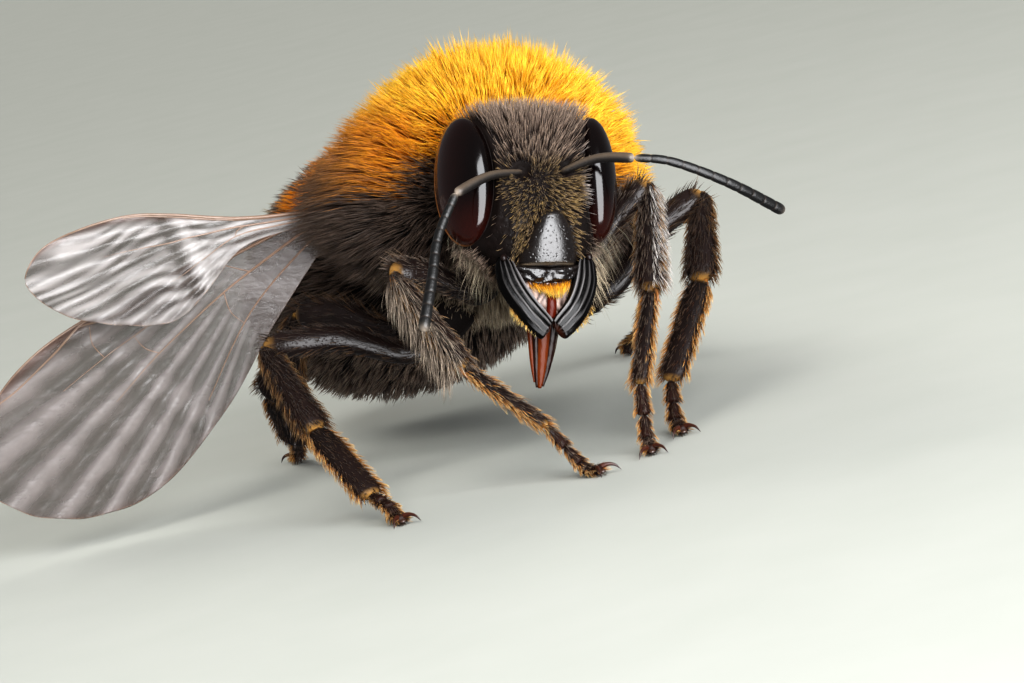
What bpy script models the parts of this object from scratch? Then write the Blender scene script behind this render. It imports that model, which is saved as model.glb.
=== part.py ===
"""A standing bumblebee queen, life size, as a still museum model.

The bee faces -Y, its left side is +X and the floor is z = 0. Head, thorax, abdomen and wings are
set out in the bee's own frame, whose origin is the middle of the thorax, and the stance then tips
that frame: head up, and leaning a little to the bee's left. Feet and leg joints are set out over
the floor. Every solid reaches to the tips of the coat. All sizes are millimetres, and MM turns
them into metres.
"""

import math

import bmesh
import bpy
import numpy as np
from mathutils import Matrix, Vector

MM = 0.001
GAP = 0.12  # width of the thin cut between two neighbouring solids

# Stance: how the trunk is carried over the floor.
THORAX_HEIGHT = 6.5
NOSE_UP = math.radians(12)
LEAN_LEFT = math.radians(12)

# Thorax, to the tips of its coat, measured from its middle.
THORAX_HALF_WIDTH = 4.45
THORAX_TOP = 4.55
THORAX_BOTTOM = 3.45
THORAX_FRONT = 3.5
THORAX_BACK = 3.75

# Head, measured from its own middle, between the eyes.
HEAD_PLACE = (-0.18, -4.55, -0.28)
HEAD_TURN = math.radians(7)
HEAD_ROLL = math.radians(-3)
HEAD_NOD = math.radians(2)
# Height over the middle, half-width, reach forward and reach back of each level of the head.
HEAD_LEVELS = (
    (1.98, 0.75, 0.25, 0.50),
    (1.62, 1.45, 0.72, 0.90),
    (1.00, 1.86, 1.05, 1.18),
    (0.20, 1.98, 1.30, 1.25),
    (-0.60, 1.90, 1.42, 1.20),
    (-1.30, 1.74, 1.62, 1.02),
    (-1.90, 1.56, 1.60, 0.78),
    (-2.40, 1.12, 1.36, 0.52),
    (-2.80, 0.78, 1.12, 0.30),
    (-3.02, 0.40, 0.86, 0.05),
)
EYE_PLACE = (1.74, -0.12, -0.02)
EYE_HALF_SIZES = (0.58, 1.00, 1.62)
EYE_TOE_IN = math.radians(16)

# Antennae: scape and flagellum, in the head's frame.
FEELER_RADIUS = 0.26
ANTENNA_BASE = (0.52, -1.25, 0.06)
RIGHT_ELBOW = (-2.60, -1.90, -0.60)
RIGHT_FLAGELLUM = ((-3.16, -2.02, -1.68), (-3.52, -2.36, -2.85), (-3.93, -2.72, -4.12))
LEFT_ELBOW = (2.06, -2.20, 0.22)
LEFT_FLAGELLUM = ((3.00, -2.40, 0.08), (4.55, -2.30, -0.45), (6.29, -1.60, -1.07))

# Mouthparts, in the head's frame.
MANDIBLE_PATH = (
    (1.12, -0.85, -2.05), (0.98, -1.00, -2.75), (0.66, -1.18, -3.40), (0.26, -1.16, -3.88),
)
PROBOSCIS_PATH = ((0.00, -0.62, -3.15), (-0.04, -0.46, -4.20), (-0.10, -0.20, -5.30))

# Abdomen: where it starts and ends behind the middle of the thorax, and its fullest section.
ABDOMEN_START = 3.0
ABDOMEN_WIDEST = 6.8
ABDOMEN_END = 12.9
ABDOMEN_HALF_WIDTH = 4.35
ABDOMEN_HALF_HEIGHT = 3.85
ABDOMEN_DROP = 0.40
ABDOMEN_DROOP = 0.012
ABDOMEN_SWING = 0.24
ABDOMEN_RINGS = 6

# Wings. An outline is in fractions along the wing and across it, of its length and its chord, from
# the root round the trailing edge, the tip and back. Pleats fan out from a hub, also in fractions:
# they repeat at even steps of slope across the wing, and rise from their start ahead of the hub.
WING_HALF_THICKNESS = 0.25
WING_SHAPES = {
    "forewing": dict(
        chord=4.9,
        outline=(
            (0.00, 0.05), (0.12, -0.05), (0.32, -0.28), (0.50, -0.52), (0.72, -0.68),
            (0.90, -0.54), (1.00, -0.22), (0.95, 0.12), (0.74, 0.32), (0.36, 0.24),
        ),
        hub=(0.15, 0.20), pleat_start=2.5, pleat_step=0.12, pleat_rise=0.020,
    ),
    "hindwing": dict(
        chord=2.7,
        outline=(
            (0.00, 0.06), (0.22, -0.04), (0.38, -0.14), (0.50, -0.50), (0.60, -0.72), (0.74, -0.68),
            (0.91, -0.46), (1.00, -0.08), (0.92, 0.24), (0.68, 0.38), (0.38, 0.16), (0.20, 0.10),
        ),
        hub=(0.25, 0.25), pleat_start=1.4, pleat_step=0.14, pleat_rise=0.024,
    ),
}
# Root, tip, and the direction from the trailing edge to the leading edge, in the bee's frame.
WINGS = {
    "forewing_right": ((-3.0, 1.7, 0.45), (-13.8, 4.7, -5.6), (-0.62, -0.05, 0.78)),
    "hindwing_right": ((-3.2, 1.3, 0.10), (-12.4, 1.5, -1.05), (-0.10, -0.25, 0.96)),
    "forewing_left": ((2.6, 1.2, 2.85), (2.6, 14.3, 2.95), (0.92, -0.05, -0.38)),
    "hindwing_left": ((2.8, 1.9, 2.15), (3.3, 11.1, 2.25), (0.92, -0.05, -0.38)),
}

# Legs. Hip and bend are in the bee's frame, and the other joints are heights and places over the
# floor. The toe is where the foot's flat meets the floor.
LEGS = {
    "front_right": dict(
        hip=(-0.9, -1.9, -2.2), bend=(-1.6, -2.7, -2.7),
        knee=(-4.10, -3.97, 5.85), ankle=(-3.25, -5.40, 3.20), ball=(-1.87, -6.72, 1.42),
        toe=(-1.35, -7.25), point=(0.50, -0.86),
    ),
    "front_left": dict(
        hip=(0.9, -1.9, -2.2), bend=(1.6, -2.6, -2.3),
        knee=(3.10, -3.60, 6.25), ankle=(2.14, -4.80, 3.72), ball=(1.00, -5.82, 1.62),
        toe=(0.66, -6.50), point=(-0.22, -0.97),
    ),
    "middle_left": dict(
        hip=(1.3, -0.6, -2.7), bend=(2.6, -0.9, -2.7),
        knee=(5.00, -1.75, 5.40), ankle=(3.95, -3.30, 3.38), ball=(2.20, -4.42, 1.25),
        toe=(1.92, -5.05), point=(-0.10, -1.0),
    ),
    "middle_right": dict(
        hip=(-1.3, -0.5, -2.7), bend=(-2.5, 0.1, -3.9),
        knee=(-7.05, -0.15, 4.40), ankle=(-6.72, -2.40, 2.25), ball=(-6.20, -4.75, 0.62),
        toe=(-6.05, -5.95), point=(0.12, -1.0),
    ),
    "hind_right": dict(
        hip=(-1.3, 1.3, -2.6), bend=(-2.7, 1.9, -3.1),
        knee=(-5.35, 3.00, 4.60), ankle=(-6.10, 4.90, 2.25), ball=(-5.65, 6.20, 0.80),
        toe=(-5.50, 7.15), point=(0.02, 1.0),
    ),
    "hind_left": dict(
        hip=(1.3, 1.3, -2.6), bend=(2.7, 2.0, -2.7),
        knee=(4.90, 3.60, 4.60), ankle=(5.60, 6.50, 2.50), ball=(5.35, 8.20, 0.80),
        toe=(5.15, 9.30), point=(0.20, 0.98),
    ),
}
# Half-width and half-thickness of each length of a leg with its fringe, thin end and thick end.
LEG_GIRTHS = {
    "front": dict(femur=(0.48, 0.52), tibia=(0.46, 0.60), basitarsus=(0.34, 0.36), tarsus=(0.27, 0.27)),
    "middle": dict(femur=(0.52, 0.58), tibia=(0.46, 0.62), basitarsus=(0.56, 0.48), tarsus=(0.27, 0.27)),
    "hind": dict(femur=(0.54, 0.62), tibia=(0.48, 0.88), basitarsus=(0.70, 0.60), tarsus=(0.28, 0.28)),
}
LEG_FLATNESS = dict(femur=0.9, tibia=0.8, basitarsus=0.66, tarsus=1.0)
FOOT_RADIUS = 0.30
FOOT_HEIGHT = 0.17
FOOT_LENGTH = 0.62
CLAW_LENGTH = 0.62

# Base colour (linear), roughness and metallic value of each finish.
FINISHES = {
    "gold_coat": ((0.72, 0.36, 0.04), 0.80, 0.0),
    "rust_coat": ((0.42, 0.12, 0.01), 0.80, 0.0),
    "dark_coat": ((0.03, 0.02, 0.015), 0.80, 0.0),
    "cream_coat": ((0.50, 0.42, 0.26), 0.80, 0.0),
    "face": ((0.05, 0.04, 0.03), 0.50, 0.0),
    "eye": ((0.01, 0.008, 0.008), 0.12, 0.0),
    "horn": ((0.02, 0.015, 0.012), 0.35, 0.0),
    "amber": ((0.35, 0.08, 0.01), 0.30, 0.0),
    "wing": ((0.42, 0.36, 0.32), 0.25, 0.0),
}

STANCE = (
    Matrix.Translation((0, 0, THORAX_HEIGHT))
    @ Matrix.Rotation(-NOSE_UP, 4, "X")
    @ Matrix.Rotation(LEAN_LEFT, 4, "Y")
)
HEAD = (
    Matrix.Translation(STANCE @ Vector(HEAD_PLACE))
    @ Matrix.Rotation(HEAD_TURN, 4, "Z")
    @ Matrix.Rotation(HEAD_NOD - NOSE_UP, 4, "X")
    @ Matrix.Rotation(LEAN_LEFT - HEAD_ROLL, 4, "Y")
)


def clear_scene():
    """Removes every object the file opened with."""
    for old in list(bpy.data.objects):
        bpy.data.objects.remove(old, do_unlink=True)


def collection(name):
    made = bpy.data.collections.new(name)
    bpy.context.scene.collection.children.link(made)
    return made


def finish(name):
    """The Principled material of one finish, made once."""
    if name in bpy.data.materials:
        return bpy.data.materials[name]
    colour, roughness, metallic = FINISHES[name]
    material = bpy.data.materials.new(name)
    material.use_nodes = True
    shader = material.node_tree.nodes["Principled BSDF"]
    shader.inputs["Base Color"].default_value = (*colour, 1.0)
    shader.inputs["Roughness"].default_value = roughness
    shader.inputs["Metallic"].default_value = metallic
    return material


def add_object(name, shape, frame, finish_name):
    """One named sub-part from a bmesh in millimetres, placed by the frame it was drawn in."""
    bmesh.ops.scale(shape, vec=Vector((MM, MM, MM)), verts=shape.verts)
    bmesh.ops.recalc_face_normals(shape, faces=shape.faces)
    mesh = bpy.data.meshes.new(name)
    shape.to_mesh(mesh)
    shape.free()
    mesh.shade_smooth()
    mesh.set_sharp_from_angle(angle=math.radians(40))
    mesh.materials.append(finish(finish_name))
    made = bpy.data.objects.new(name, mesh)
    made.matrix_world = Matrix.Translation(frame.translation * MM) @ frame.to_3x3().to_4x4()
    bee.objects.link(made)
    return made


def loft(rings):
    """A closed bmesh through rings of points, drawn in to a point in the middle of each end."""
    shape = bmesh.new()
    rows = [[shape.verts.new(point) for point in ring] for ring in rings]
    count = len(rows[0])
    for row, following in zip(rows, rows[1:]):
        for i in range(count):
            j = (i + 1) % count
            shape.faces.new((row[i], row[j], following[j], following[i]))
    for row in (rows[0], rows[-1]):
        pole = shape.verts.new(sum((v.co for v in row), Vector()) / count)
        for i in range(count):
            shape.faces.new((row[i], row[(i + 1) % count], pole))
    return shape


def along(path, fraction):
    """Point and direction on a smooth curve through the path's points (Catmull-Rom)."""
    points = [Vector(p) for p in path]
    points = [2 * points[0] - points[1], *points, 2 * points[-1] - points[-2]]
    spans = len(points) - 3
    span = min(int(fraction * spans), spans - 1)
    t = fraction * spans - span
    a, b, c, d = points[span:span + 4]
    bend, twist = 2 * a - 5 * b + 4 * c - d, 3 * b - a - 3 * c + d
    place = 0.5 * (2 * b + (c - a) * t + bend * t ** 2 + twist * t ** 3)
    slope = 0.5 * ((c - a) + 2 * bend * t + 3 * twist * t ** 2)
    return place, slope.normalized()


def limb(path, girths, flatness, broad, sides=9):
    """A rounded length along a path. Each girth is a fraction along it and a half-width, which
    lies along the broad direction at the far end, and is carried back along the path from there
    without a twist. The thickness is the flatness times the width."""
    rings = []
    side = broad
    turns = [2 * math.pi * i / sides for i in range(sides)]
    for fraction, half_width in reversed(girths):
        centre, direction = along(path, fraction)
        side = (side - direction * side.dot(direction)).normalized()
        up = direction.cross(side) * flatness
        rings.append([centre + (side * math.cos(a) + up * math.sin(a)) * half_width for a in turns])
    return loft(rings)


def ellipsoid(half_sizes, columns, rows):
    """A sphere primitive scaled to its half-sizes."""
    shape = bmesh.new()
    bmesh.ops.create_uvsphere(shape, u_segments=columns, v_segments=rows, radius=1.0)
    bmesh.ops.scale(shape, vec=Vector(half_sizes), verts=shape.verts)
    return shape


def grown_copy(source, name):
    """A cutter: a copy of a solid that is fatter by the gap all round."""
    mesh = source.data.copy()
    normals = [v.normal.copy() for v in mesh.vertices]
    for vertex, normal in zip(mesh.vertices, normals):
        vertex.co += normal * GAP * MM
    cutter = bpy.data.objects.new(name, mesh)
    cutter.matrix_world = source.matrix_world.copy()
    cutter.hide_render = True
    cutter.display_type = "WIRE"
    cutters.objects.link(cutter)
    return cutter


def keep_main_body(shape):
    """Drops the slivers that a cut can leave beside the solid it was made in."""
    unseen = set(shape.verts)
    bodies = []
    while unseen:
        body, border = set(), [unseen.pop()]
        while border:
            vertex = border.pop()
            body.add(vertex)
            for edge in vertex.link_edges:
                other = edge.other_vert(vertex)
                if other in unseen:
                    unseen.discard(other)
                    border.append(other)
        bodies.append(body)
    main = max(bodies, key=len)
    bmesh.ops.delete(shape, geom=[v for v in shape.verts if v not in main], context="VERTS")


def boolean(target, tool, operation):
    """Applies one exact Boolean and keeps the main body of the result."""
    step = target.modifiers.new(operation.lower(), "BOOLEAN")
    step.operation = operation
    step.solver = "EXACT"
    step.object = tool
    bpy.context.view_layer.update()
    graph = bpy.context.evaluated_depsgraph_get()
    result = bpy.data.meshes.new_from_object(target.evaluated_get(graph), depsgraph=graph)
    target.modifiers.remove(step)
    shape = bmesh.new()
    shape.from_mesh(result)
    keep_main_body(shape)
    shape.to_mesh(target.data)
    shape.free()
    bpy.data.meshes.remove(result)


def part_from(target, neighbours):
    """Cuts the target back from solids that it meets, leaving the thin gap between them."""
    for neighbour in neighbours:
        boolean(target, shapes_whole[neighbour], "DIFFERENCE")


def make_thorax():
    shape = ellipsoid((1, 1, 1), 24, 16)
    for v in shape.verts:
        v.co.x *= THORAX_HALF_WIDTH
        v.co.y *= THORAX_BACK if v.co.y > 0 else THORAX_FRONT
        v.co.z *= THORAX_TOP if v.co.z > 0 else THORAX_BOTTOM
    return add_object("thorax", shape, STANCE, "gold_coat")


def head_ring(height, half_width, front, back, sides=20):
    """One level of the head: a rounded section, fuller in front than behind."""
    ring = []
    for i in range(sides):
        a = 2 * math.pi * i / sides
        reach = back if math.sin(a) > 0 else front
        ring.append(Vector((half_width * math.cos(a), reach * math.sin(a), height)))
    return ring


def make_head():
    rings = [head_ring(*level) for level in HEAD_LEVELS]
    return add_object("head", loft(rings), HEAD, "face")


def make_eye(side, sign):
    shape = ellipsoid(EYE_HALF_SIZES, 16, 12)
    place = Vector((sign * EYE_PLACE[0], EYE_PLACE[1], EYE_PLACE[2]))
    toe_in = Matrix.Rotation(-sign * EYE_TOE_IN, 4, "Z")
    return add_object(f"eye_{side}", shape, HEAD @ Matrix.Translation(place) @ toe_in, "eye")


def make_antenna(side, sign, elbow, flagellum):
    """Scape from the face to the elbow, and flagellum from the elbow to the tip."""
    base = (sign * ANTENNA_BASE[0], ANTENNA_BASE[1], ANTENNA_BASE[2])
    r = FEELER_RADIUS
    scape = limb((base, elbow), ((0, 0.6 * r), (0.06, r), (0.94, r), (1, 0.6 * r)), 1.0, Vector((0, 0, 1)), 8)
    add_object(f"antenna_{side}_scape", scape, HEAD, "horn")
    reach = ((0, 0.6 * r), (0.04, r), (0.25, r), (0.5, r), (0.75, r), (0.95, r), (1, 0.6 * r))
    whip = limb((elbow, *flagellum), reach, 1.0, Vector((0, 1, 0.2)), 8)
    return add_object(f"antenna_{side}_flagellum", whip, HEAD, "horn")


def make_mandible(side, sign):
    path = [(sign * x, y, z) for x, y, z in MANDIBLE_PATH]
    girths = ((0, 0.26), (0.12, 0.36), (0.5, 0.36), (0.85, 0.28), (1, 0.20))
    shape = limb(path, girths, 0.75, Vector((0, 1, 0)))
    return add_object(f"mandible_{side}", shape, HEAD, "horn")


def make_proboscis():
    girths = ((0, 0.36), (0.10, 0.46), (0.45, 0.44), (0.85, 0.30), (1, 0.22))
    return add_object("proboscis", limb(PROBOSCIS_PATH, girths, 0.75, Vector((1, 0, 0))), HEAD, "amber")


def abdomen_ring(y, sides=24):
    """One section of the abdomen: an ellipse that swings right and droops towards the tail."""
    far_end = ABDOMEN_START if y < ABDOMEN_WIDEST else ABDOMEN_END
    reach = abs(far_end - ABDOMEN_WIDEST) + 0.1
    fullness = (1 - (abs(y - ABDOMEN_WIDEST) / reach) ** 2.4) ** 0.55
    behind = y - ABDOMEN_START
    centre = Vector((-ABDOMEN_SWING * behind, y, -ABDOMEN_DROP - ABDOMEN_DROOP * behind ** 2))
    ring = []
    for i in range(sides):
        a = 2 * math.pi * i / sides
        across = ABDOMEN_HALF_WIDTH * fullness * math.cos(a)
        ring.append(centre + Vector((across, 0, ABDOMEN_HALF_HEIGHT * fullness * math.sin(a))))
    return ring


def make_abdomen():
    """The rings of the abdomen, each a node, with a thin cut between one and the next."""
    cuts = np.linspace(ABDOMEN_START, ABDOMEN_END, ABDOMEN_RINGS + 1)
    coats = ("rust_coat", "gold_coat", "dark_coat", "dark_coat", "cream_coat", "rust_coat")
    for i, coat in enumerate(coats):
        start, end = cuts[i] + GAP / 2, cuts[i + 1] - GAP / 2
        steps = [abdomen_ring(float(y)) for y in np.linspace(start, end, 4)]
        add_object(f"abdomen_{i + 1}", loft(steps), STANCE, coat)


def pleat(shape, hub, start, step, rise):
    """Folds a flat plate in pleats that fan out from a hub and begin at a distance ahead of it,
    with a crest at each step of slope and a trough halfway to the next."""
    bmesh.ops.dissolve_limit(shape, angle_limit=math.radians(1), verts=shape.verts, edges=shape.edges)
    everything = shape.verts[:] + shape.edges[:] + shape.faces[:]
    first_line = hub + Vector((start, 0, 0))
    bmesh.ops.bisect_plane(shape, geom=everything, plane_co=first_line, plane_no=(1, 0, 0))
    pleated = [v.co - hub for v in shape.verts if v.co.x > first_line.x - 1e-3 * MM]
    slopes = [place.y / place.x for place in pleated]
    first, last = math.ceil(min(slopes) * 2 / step), math.floor(max(slopes) * 2 / step)
    for fold in range(first, last + 1):
        beyond = [face for face in shape.faces if face.calc_center_median().x > first_line.x]
        edges = {edge for face in beyond for edge in face.edges}
        verts = {vert for face in beyond for vert in face.verts}
        geometry = [*verts, *edges, *beyond]
        across_fold = (fold * step / 2, -1, 0)
        bmesh.ops.bisect_plane(shape, geom=geometry, plane_co=hub, plane_no=across_fold)
    for vertex in shape.verts:
        ahead = vertex.co.x - hub.x
        if ahead > start:
            turn = (vertex.co.y - hub.y) / ahead / step
            turn = min(max(turn, first / 2), last / 2)
            vertex.co.z += rise * (ahead - start) * (1 - 4 * abs(turn - round(turn)))
    bmesh.ops.triangulate(shape, faces=shape.faces)


def make_wing(name, root, tip, leading):
    """A pleated plate: a closed smooth outline, given its thickness, made a mesh and folded."""
    form = WING_SHAPES[name.split("_")[0]]
    root, tip, leading = Vector(root), Vector(tip), Vector(leading)
    span = tip - root
    along_wing = span.normalized()
    across = (leading - along_wing * leading.dot(along_wing)).normalized()
    facing = along_wing.cross(across)
    drawn = bpy.data.curves.new(name, "CURVE")
    drawn.dimensions = "2D"
    drawn.fill_mode = "BOTH"
    drawn.extrude = WING_HALF_THICKNESS * MM
    drawn.resolution_u = 4
    spline = drawn.splines.new("BEZIER")
    spline.bezier_points.add(len(form["outline"]) - 1)
    for point, (u, v) in zip(spline.bezier_points, form["outline"]):
        point.co = (u * span.length * MM, v * form["chord"] * MM, 0)
        point.handle_left_type = point.handle_right_type = "AUTO"
    spline.use_cyclic_u = True
    plate = bpy.data.objects.new(name, drawn)
    turn = Matrix((along_wing, across, facing)).transposed().to_4x4()
    plate.matrix_world = Matrix.Translation(STANCE @ root * MM) @ STANCE.to_3x3().to_4x4() @ turn
    bee.objects.link(plate)
    bpy.context.view_layer.update()
    graph = bpy.context.evaluated_depsgraph_get()
    mesh = bpy.data.meshes.new_from_object(plate.evaluated_get(graph), depsgraph=graph)
    place = plate.matrix_world.copy()
    bpy.data.objects.remove(plate)
    shape = bmesh.new()
    shape.from_mesh(mesh)
    bmesh.ops.remove_doubles(shape, verts=shape.verts, dist=1e-7)
    hub_along, hub_across = form["hub"]
    hub = Vector((hub_along * span.length, hub_across * form["chord"], 0)) * MM
    pleat(shape, hub, form["pleat_start"] * MM, form["pleat_step"], form["pleat_rise"])
    bmesh.ops.recalc_face_normals(shape, faces=shape.faces)
    shape.to_mesh(mesh)
    shape.free()
    mesh.materials.append(finish("wing"))
    made = bpy.data.objects.new(name, mesh)
    made.matrix_world = place
    bee.objects.link(made)
    return made


def flat_foot(shape):
    """Cuts a foot off level with the floor and closes the flat that it stands on."""
    everything = shape.verts[:] + shape.edges[:] + shape.faces[:]
    bmesh.ops.bisect_plane(shape, geom=everything, plane_co=(0, 0, 0), plane_no=(0, 0, 1), clear_inner=True)
    bmesh.ops.holes_fill(shape, edges=[e for e in shape.edges if e.is_boundary])


def make_claws(name, heel, forward):
    """Two claws that spread from the end of the foot and dip towards the floor."""
    made = []
    for i, spread in enumerate((-35, 35)):
        out = Matrix.Rotation(math.radians(spread), 3, "Z") @ forward
        path = (heel, heel + out * 0.6 * CLAW_LENGTH, heel + out * CLAW_LENGTH + Vector((0, 0, -0.06)))
        claw = limb(path, ((0, 0.17), (0.5, 0.16), (1, 0.10)), 1.0, Vector((0, 0, 1)), 5)
        flat_foot(claw)
        made.append(add_object(f"{name}_claw_{i}", claw, Matrix.Identity(4), "horn"))
    return made


def make_tarsus(name, ball, toe, point, girth):
    """The foot: it comes down from the ball, turns flat along the floor and ends in two claws."""
    forward = Vector((*point, 0)).normalized()
    heel = Vector((*toe, FOOT_HEIGHT))
    tip = heel + forward * FOOT_LENGTH
    path = (ball, heel - forward * 0.12 + Vector((0, 0, 0.25)), heel + forward * 0.2, tip)
    girths = (
        (0, 0.7 * girth), (0.08, girth), (0.33, girth),
        (0.62, FOOT_RADIUS), (0.9, FOOT_RADIUS), (1, 0.2),
    )
    shape = limb(path, girths, 1.0, Vector((0, 0, 1)).cross(forward), 8)
    flat_foot(shape)
    foot = add_object(name, shape, Matrix.Identity(4), "horn")
    for claw in make_claws(name, tip - forward * 0.2, forward):
        boolean(foot, claw, "UNION")
        bpy.data.objects.remove(claw)
    return foot


def make_leg(name, joints):
    """One leg in four lengths: femur with its hip, tibia, basitarsus and foot."""
    girths = LEG_GIRTHS[name.split("_")[0]]
    hip, bend = STANCE @ Vector(joints["hip"]), STANCE @ Vector(joints["bend"])
    knee, ankle, ball = (Vector(joints[k]) for k in ("knee", "ankle", "ball"))
    bow = Vector((0, 0, 0.07 * (knee - bend).length))
    broad = (knee - bend).cross(ankle - knee).normalized().cross(ankle - knee).normalized()
    runs = {
        "femur": (hip, bend, (bend + knee) / 2 + bow, knee),
        "tibia": (knee, (knee + ankle) / 2 + (knee - ball).normalized() * 0.08, ankle),
        "basitarsus": (ankle, (ankle + ball) / 2, ball),
    }
    for part, path in runs.items():
        thin, thick = girths[part]
        steps = (
            (0, 0.55 * thin), (0.07, thin), (0.35, 0.5 * (thin + thick)),
            (0.75, thick), (0.94, 0.9 * thick), (1, 0.5 * thick),
        )
        shape = limb(path, steps, LEG_FLATNESS[part], broad)
        add_object(f"{name}_{part}", shape, Matrix.Identity(4), "dark_coat")
    make_tarsus(f"{name}_tarsus", ball, joints["toe"], joints["point"], girths["tarsus"][0])


def make_bee():
    make_thorax()
    make_head()
    for side, sign in (("right", -1), ("left", 1)):
        make_eye(side, sign)
        make_mandible(side, sign)
    make_antenna("right", -1, RIGHT_ELBOW, RIGHT_FLAGELLUM)
    make_antenna("left", 1, LEFT_ELBOW, LEFT_FLAGELLUM)
    make_proboscis()
    make_abdomen()
    for name, wing in WINGS.items():
        make_wing(name, *wing)
    for name, joints in LEGS.items():
        make_leg(name, joints)


def part_the_bee():
    """Parts the bee with thin cuts: the first of each pair gives way to the solids after it."""
    femora = [f"{leg}_femur" for leg in LEGS]
    meetings = [
        ("mandible_left", ["mandible_right"]),
        ("proboscis", ["mandible_left", "mandible_right"]),
        ("head", ["eye_left", "eye_right", "antenna_left_scape", "antenna_right_scape",
                  "mandible_left", "mandible_right", "proboscis"]),
        ("thorax", ["head", "eye_left", "eye_right", *femora, *WINGS]),
        ("abdomen_1", ["thorax", "hind_left_femur", "hind_right_femur", *WINGS]),
        ("abdomen_2", ["hindwing_left"]),
        ("hindwing_left", ["forewing_left"]),
    ]
    for side in ("left", "right"):
        meetings.append((f"antenna_{side}_flagellum", [f"antenna_{side}_scape"]))
    for leg in LEGS:
        meetings.append((f"{leg}_tibia", [f"{leg}_femur"]))
        meetings.append((f"{leg}_basitarsus", [f"{leg}_tibia"]))
        meetings.append((f"{leg}_tarsus", [f"{leg}_basitarsus"]))
    for tool in {tool for _, tools in meetings for tool in tools}:
        shapes_whole[tool] = grown_copy(bpy.data.objects[tool], f"{tool}_cutter")
    for name, tools in meetings:
        part_from(bpy.data.objects[name], tools)
    for cutter in shapes_whole.values():
        bpy.data.objects.remove(cutter)


def stand_on_origin():
    """Moves the bee so that the middle of its footprint is the origin, with its feet on z = 0."""
    bpy.context.view_layer.update()
    corners = np.array([o.matrix_world @ v.co for o in bee.objects for v in o.data.vertices])
    low, high = corners.min(axis=0), corners.max(axis=0)
    shift = Vector((-(low[0] + high[0]) / 2, -(low[1] + high[1]) / 2, 0))
    for part in bee.objects:
        part.matrix_world = Matrix.Translation(shift) @ part.matrix_world


clear_scene()
bee = collection("bumblebee")
cutters = collection("cutters")
shapes_whole = {}
make_bee()
part_the_bee()
stand_on_origin()
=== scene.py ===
"""Looks of a standing bumblebee queen: skin, eyes, mouthparts, feelers, wings and coat.

Everything is drawn in millimetres over the floor, in the bee's frame (origin in the middle of the
thorax, -Y ahead, +X to the bee's left) or in the head's, and set in its place in metres when its
object is made. The sizes that the solids share with it stand first.
"""
import math

import bpy
import numpy as np
from mathutils import Matrix, Vector
from mathutils.kdtree import KDTree


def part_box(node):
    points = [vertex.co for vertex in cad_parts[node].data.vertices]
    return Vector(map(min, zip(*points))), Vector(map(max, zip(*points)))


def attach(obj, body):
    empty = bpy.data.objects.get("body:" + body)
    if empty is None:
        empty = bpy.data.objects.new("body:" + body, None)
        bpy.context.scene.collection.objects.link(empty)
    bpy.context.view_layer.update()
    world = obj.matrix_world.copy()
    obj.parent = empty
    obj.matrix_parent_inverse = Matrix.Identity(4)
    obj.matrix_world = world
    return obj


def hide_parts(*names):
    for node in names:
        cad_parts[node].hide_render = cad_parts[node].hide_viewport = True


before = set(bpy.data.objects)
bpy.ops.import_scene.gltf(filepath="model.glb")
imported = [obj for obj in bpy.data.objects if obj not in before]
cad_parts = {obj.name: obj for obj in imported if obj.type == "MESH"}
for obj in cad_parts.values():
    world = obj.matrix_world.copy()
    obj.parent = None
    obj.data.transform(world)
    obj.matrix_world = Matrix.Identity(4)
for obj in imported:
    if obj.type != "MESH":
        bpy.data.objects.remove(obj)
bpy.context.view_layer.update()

MM = 0.001
UP = Vector((0, 0, 1))
LEVEL = Matrix.Identity(4)

# Stance, as the solids have it.
STANCE = (
    Matrix.Translation((0, 0, 6.5))
    @ Matrix.Rotation(math.radians(-12), 4, "X")
    @ Matrix.Rotation(math.radians(12), 4, "Y")
)
HEAD = (
    Matrix.Translation(STANCE @ Vector((-0.18, -4.55, -0.28)))
    @ Matrix.Rotation(math.radians(7), 4, "Z")
    @ Matrix.Rotation(math.radians(-10), 4, "X")
    @ Matrix.Rotation(math.radians(15), 4, "Y")
)
EYE_PLACE = Vector((1.74, -0.12, -0.02))
EYE_HALF_SIZES = (0.58, 1.00, 1.62)
EYE_TOE_IN = math.radians(16)
EYE_SEAT = -0.03  # how far out of the eye's middle the head closes round it,
EYE_SEAT_SLANT = 0.29  # and how much farther out than that at its hind edge

# Where the solids stand in the room: their left eye gives the shift from the drawing's place.
eye_low, eye_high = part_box("eye_left")
eye_middle = (eye_low + eye_high) / 2 - (HEAD @ EYE_PLACE) * MM
SHIFT = Vector((eye_middle.x, eye_middle.y, 0))

# Thorax: half-width, top, bottom, front and back from its middle, to the coat's tips and bare.
THORAX_COAT = (4.45, 4.55, 3.45, 3.5, 3.75)
THORAX_SKIN = (3.30, 3.20, 2.70, 2.45, 2.95)

# Abdomen: along the body it starts, is fullest and ends here behind the middle of the thorax.
ABDOMEN_START, ABDOMEN_WIDEST, ABDOMEN_END = 3.0, 6.8, 12.9
ABDOMEN_HALF_WIDTH, ABDOMEN_HALF_HEIGHT = 4.35, 3.85
ABDOMEN_DROP, ABDOMEN_DROOP, ABDOMEN_SWING = 0.40, 0.012, 0.24
ABDOMEN_RINGS = 6
ABDOMEN_COAT_DEPTH = 0.75

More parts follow.
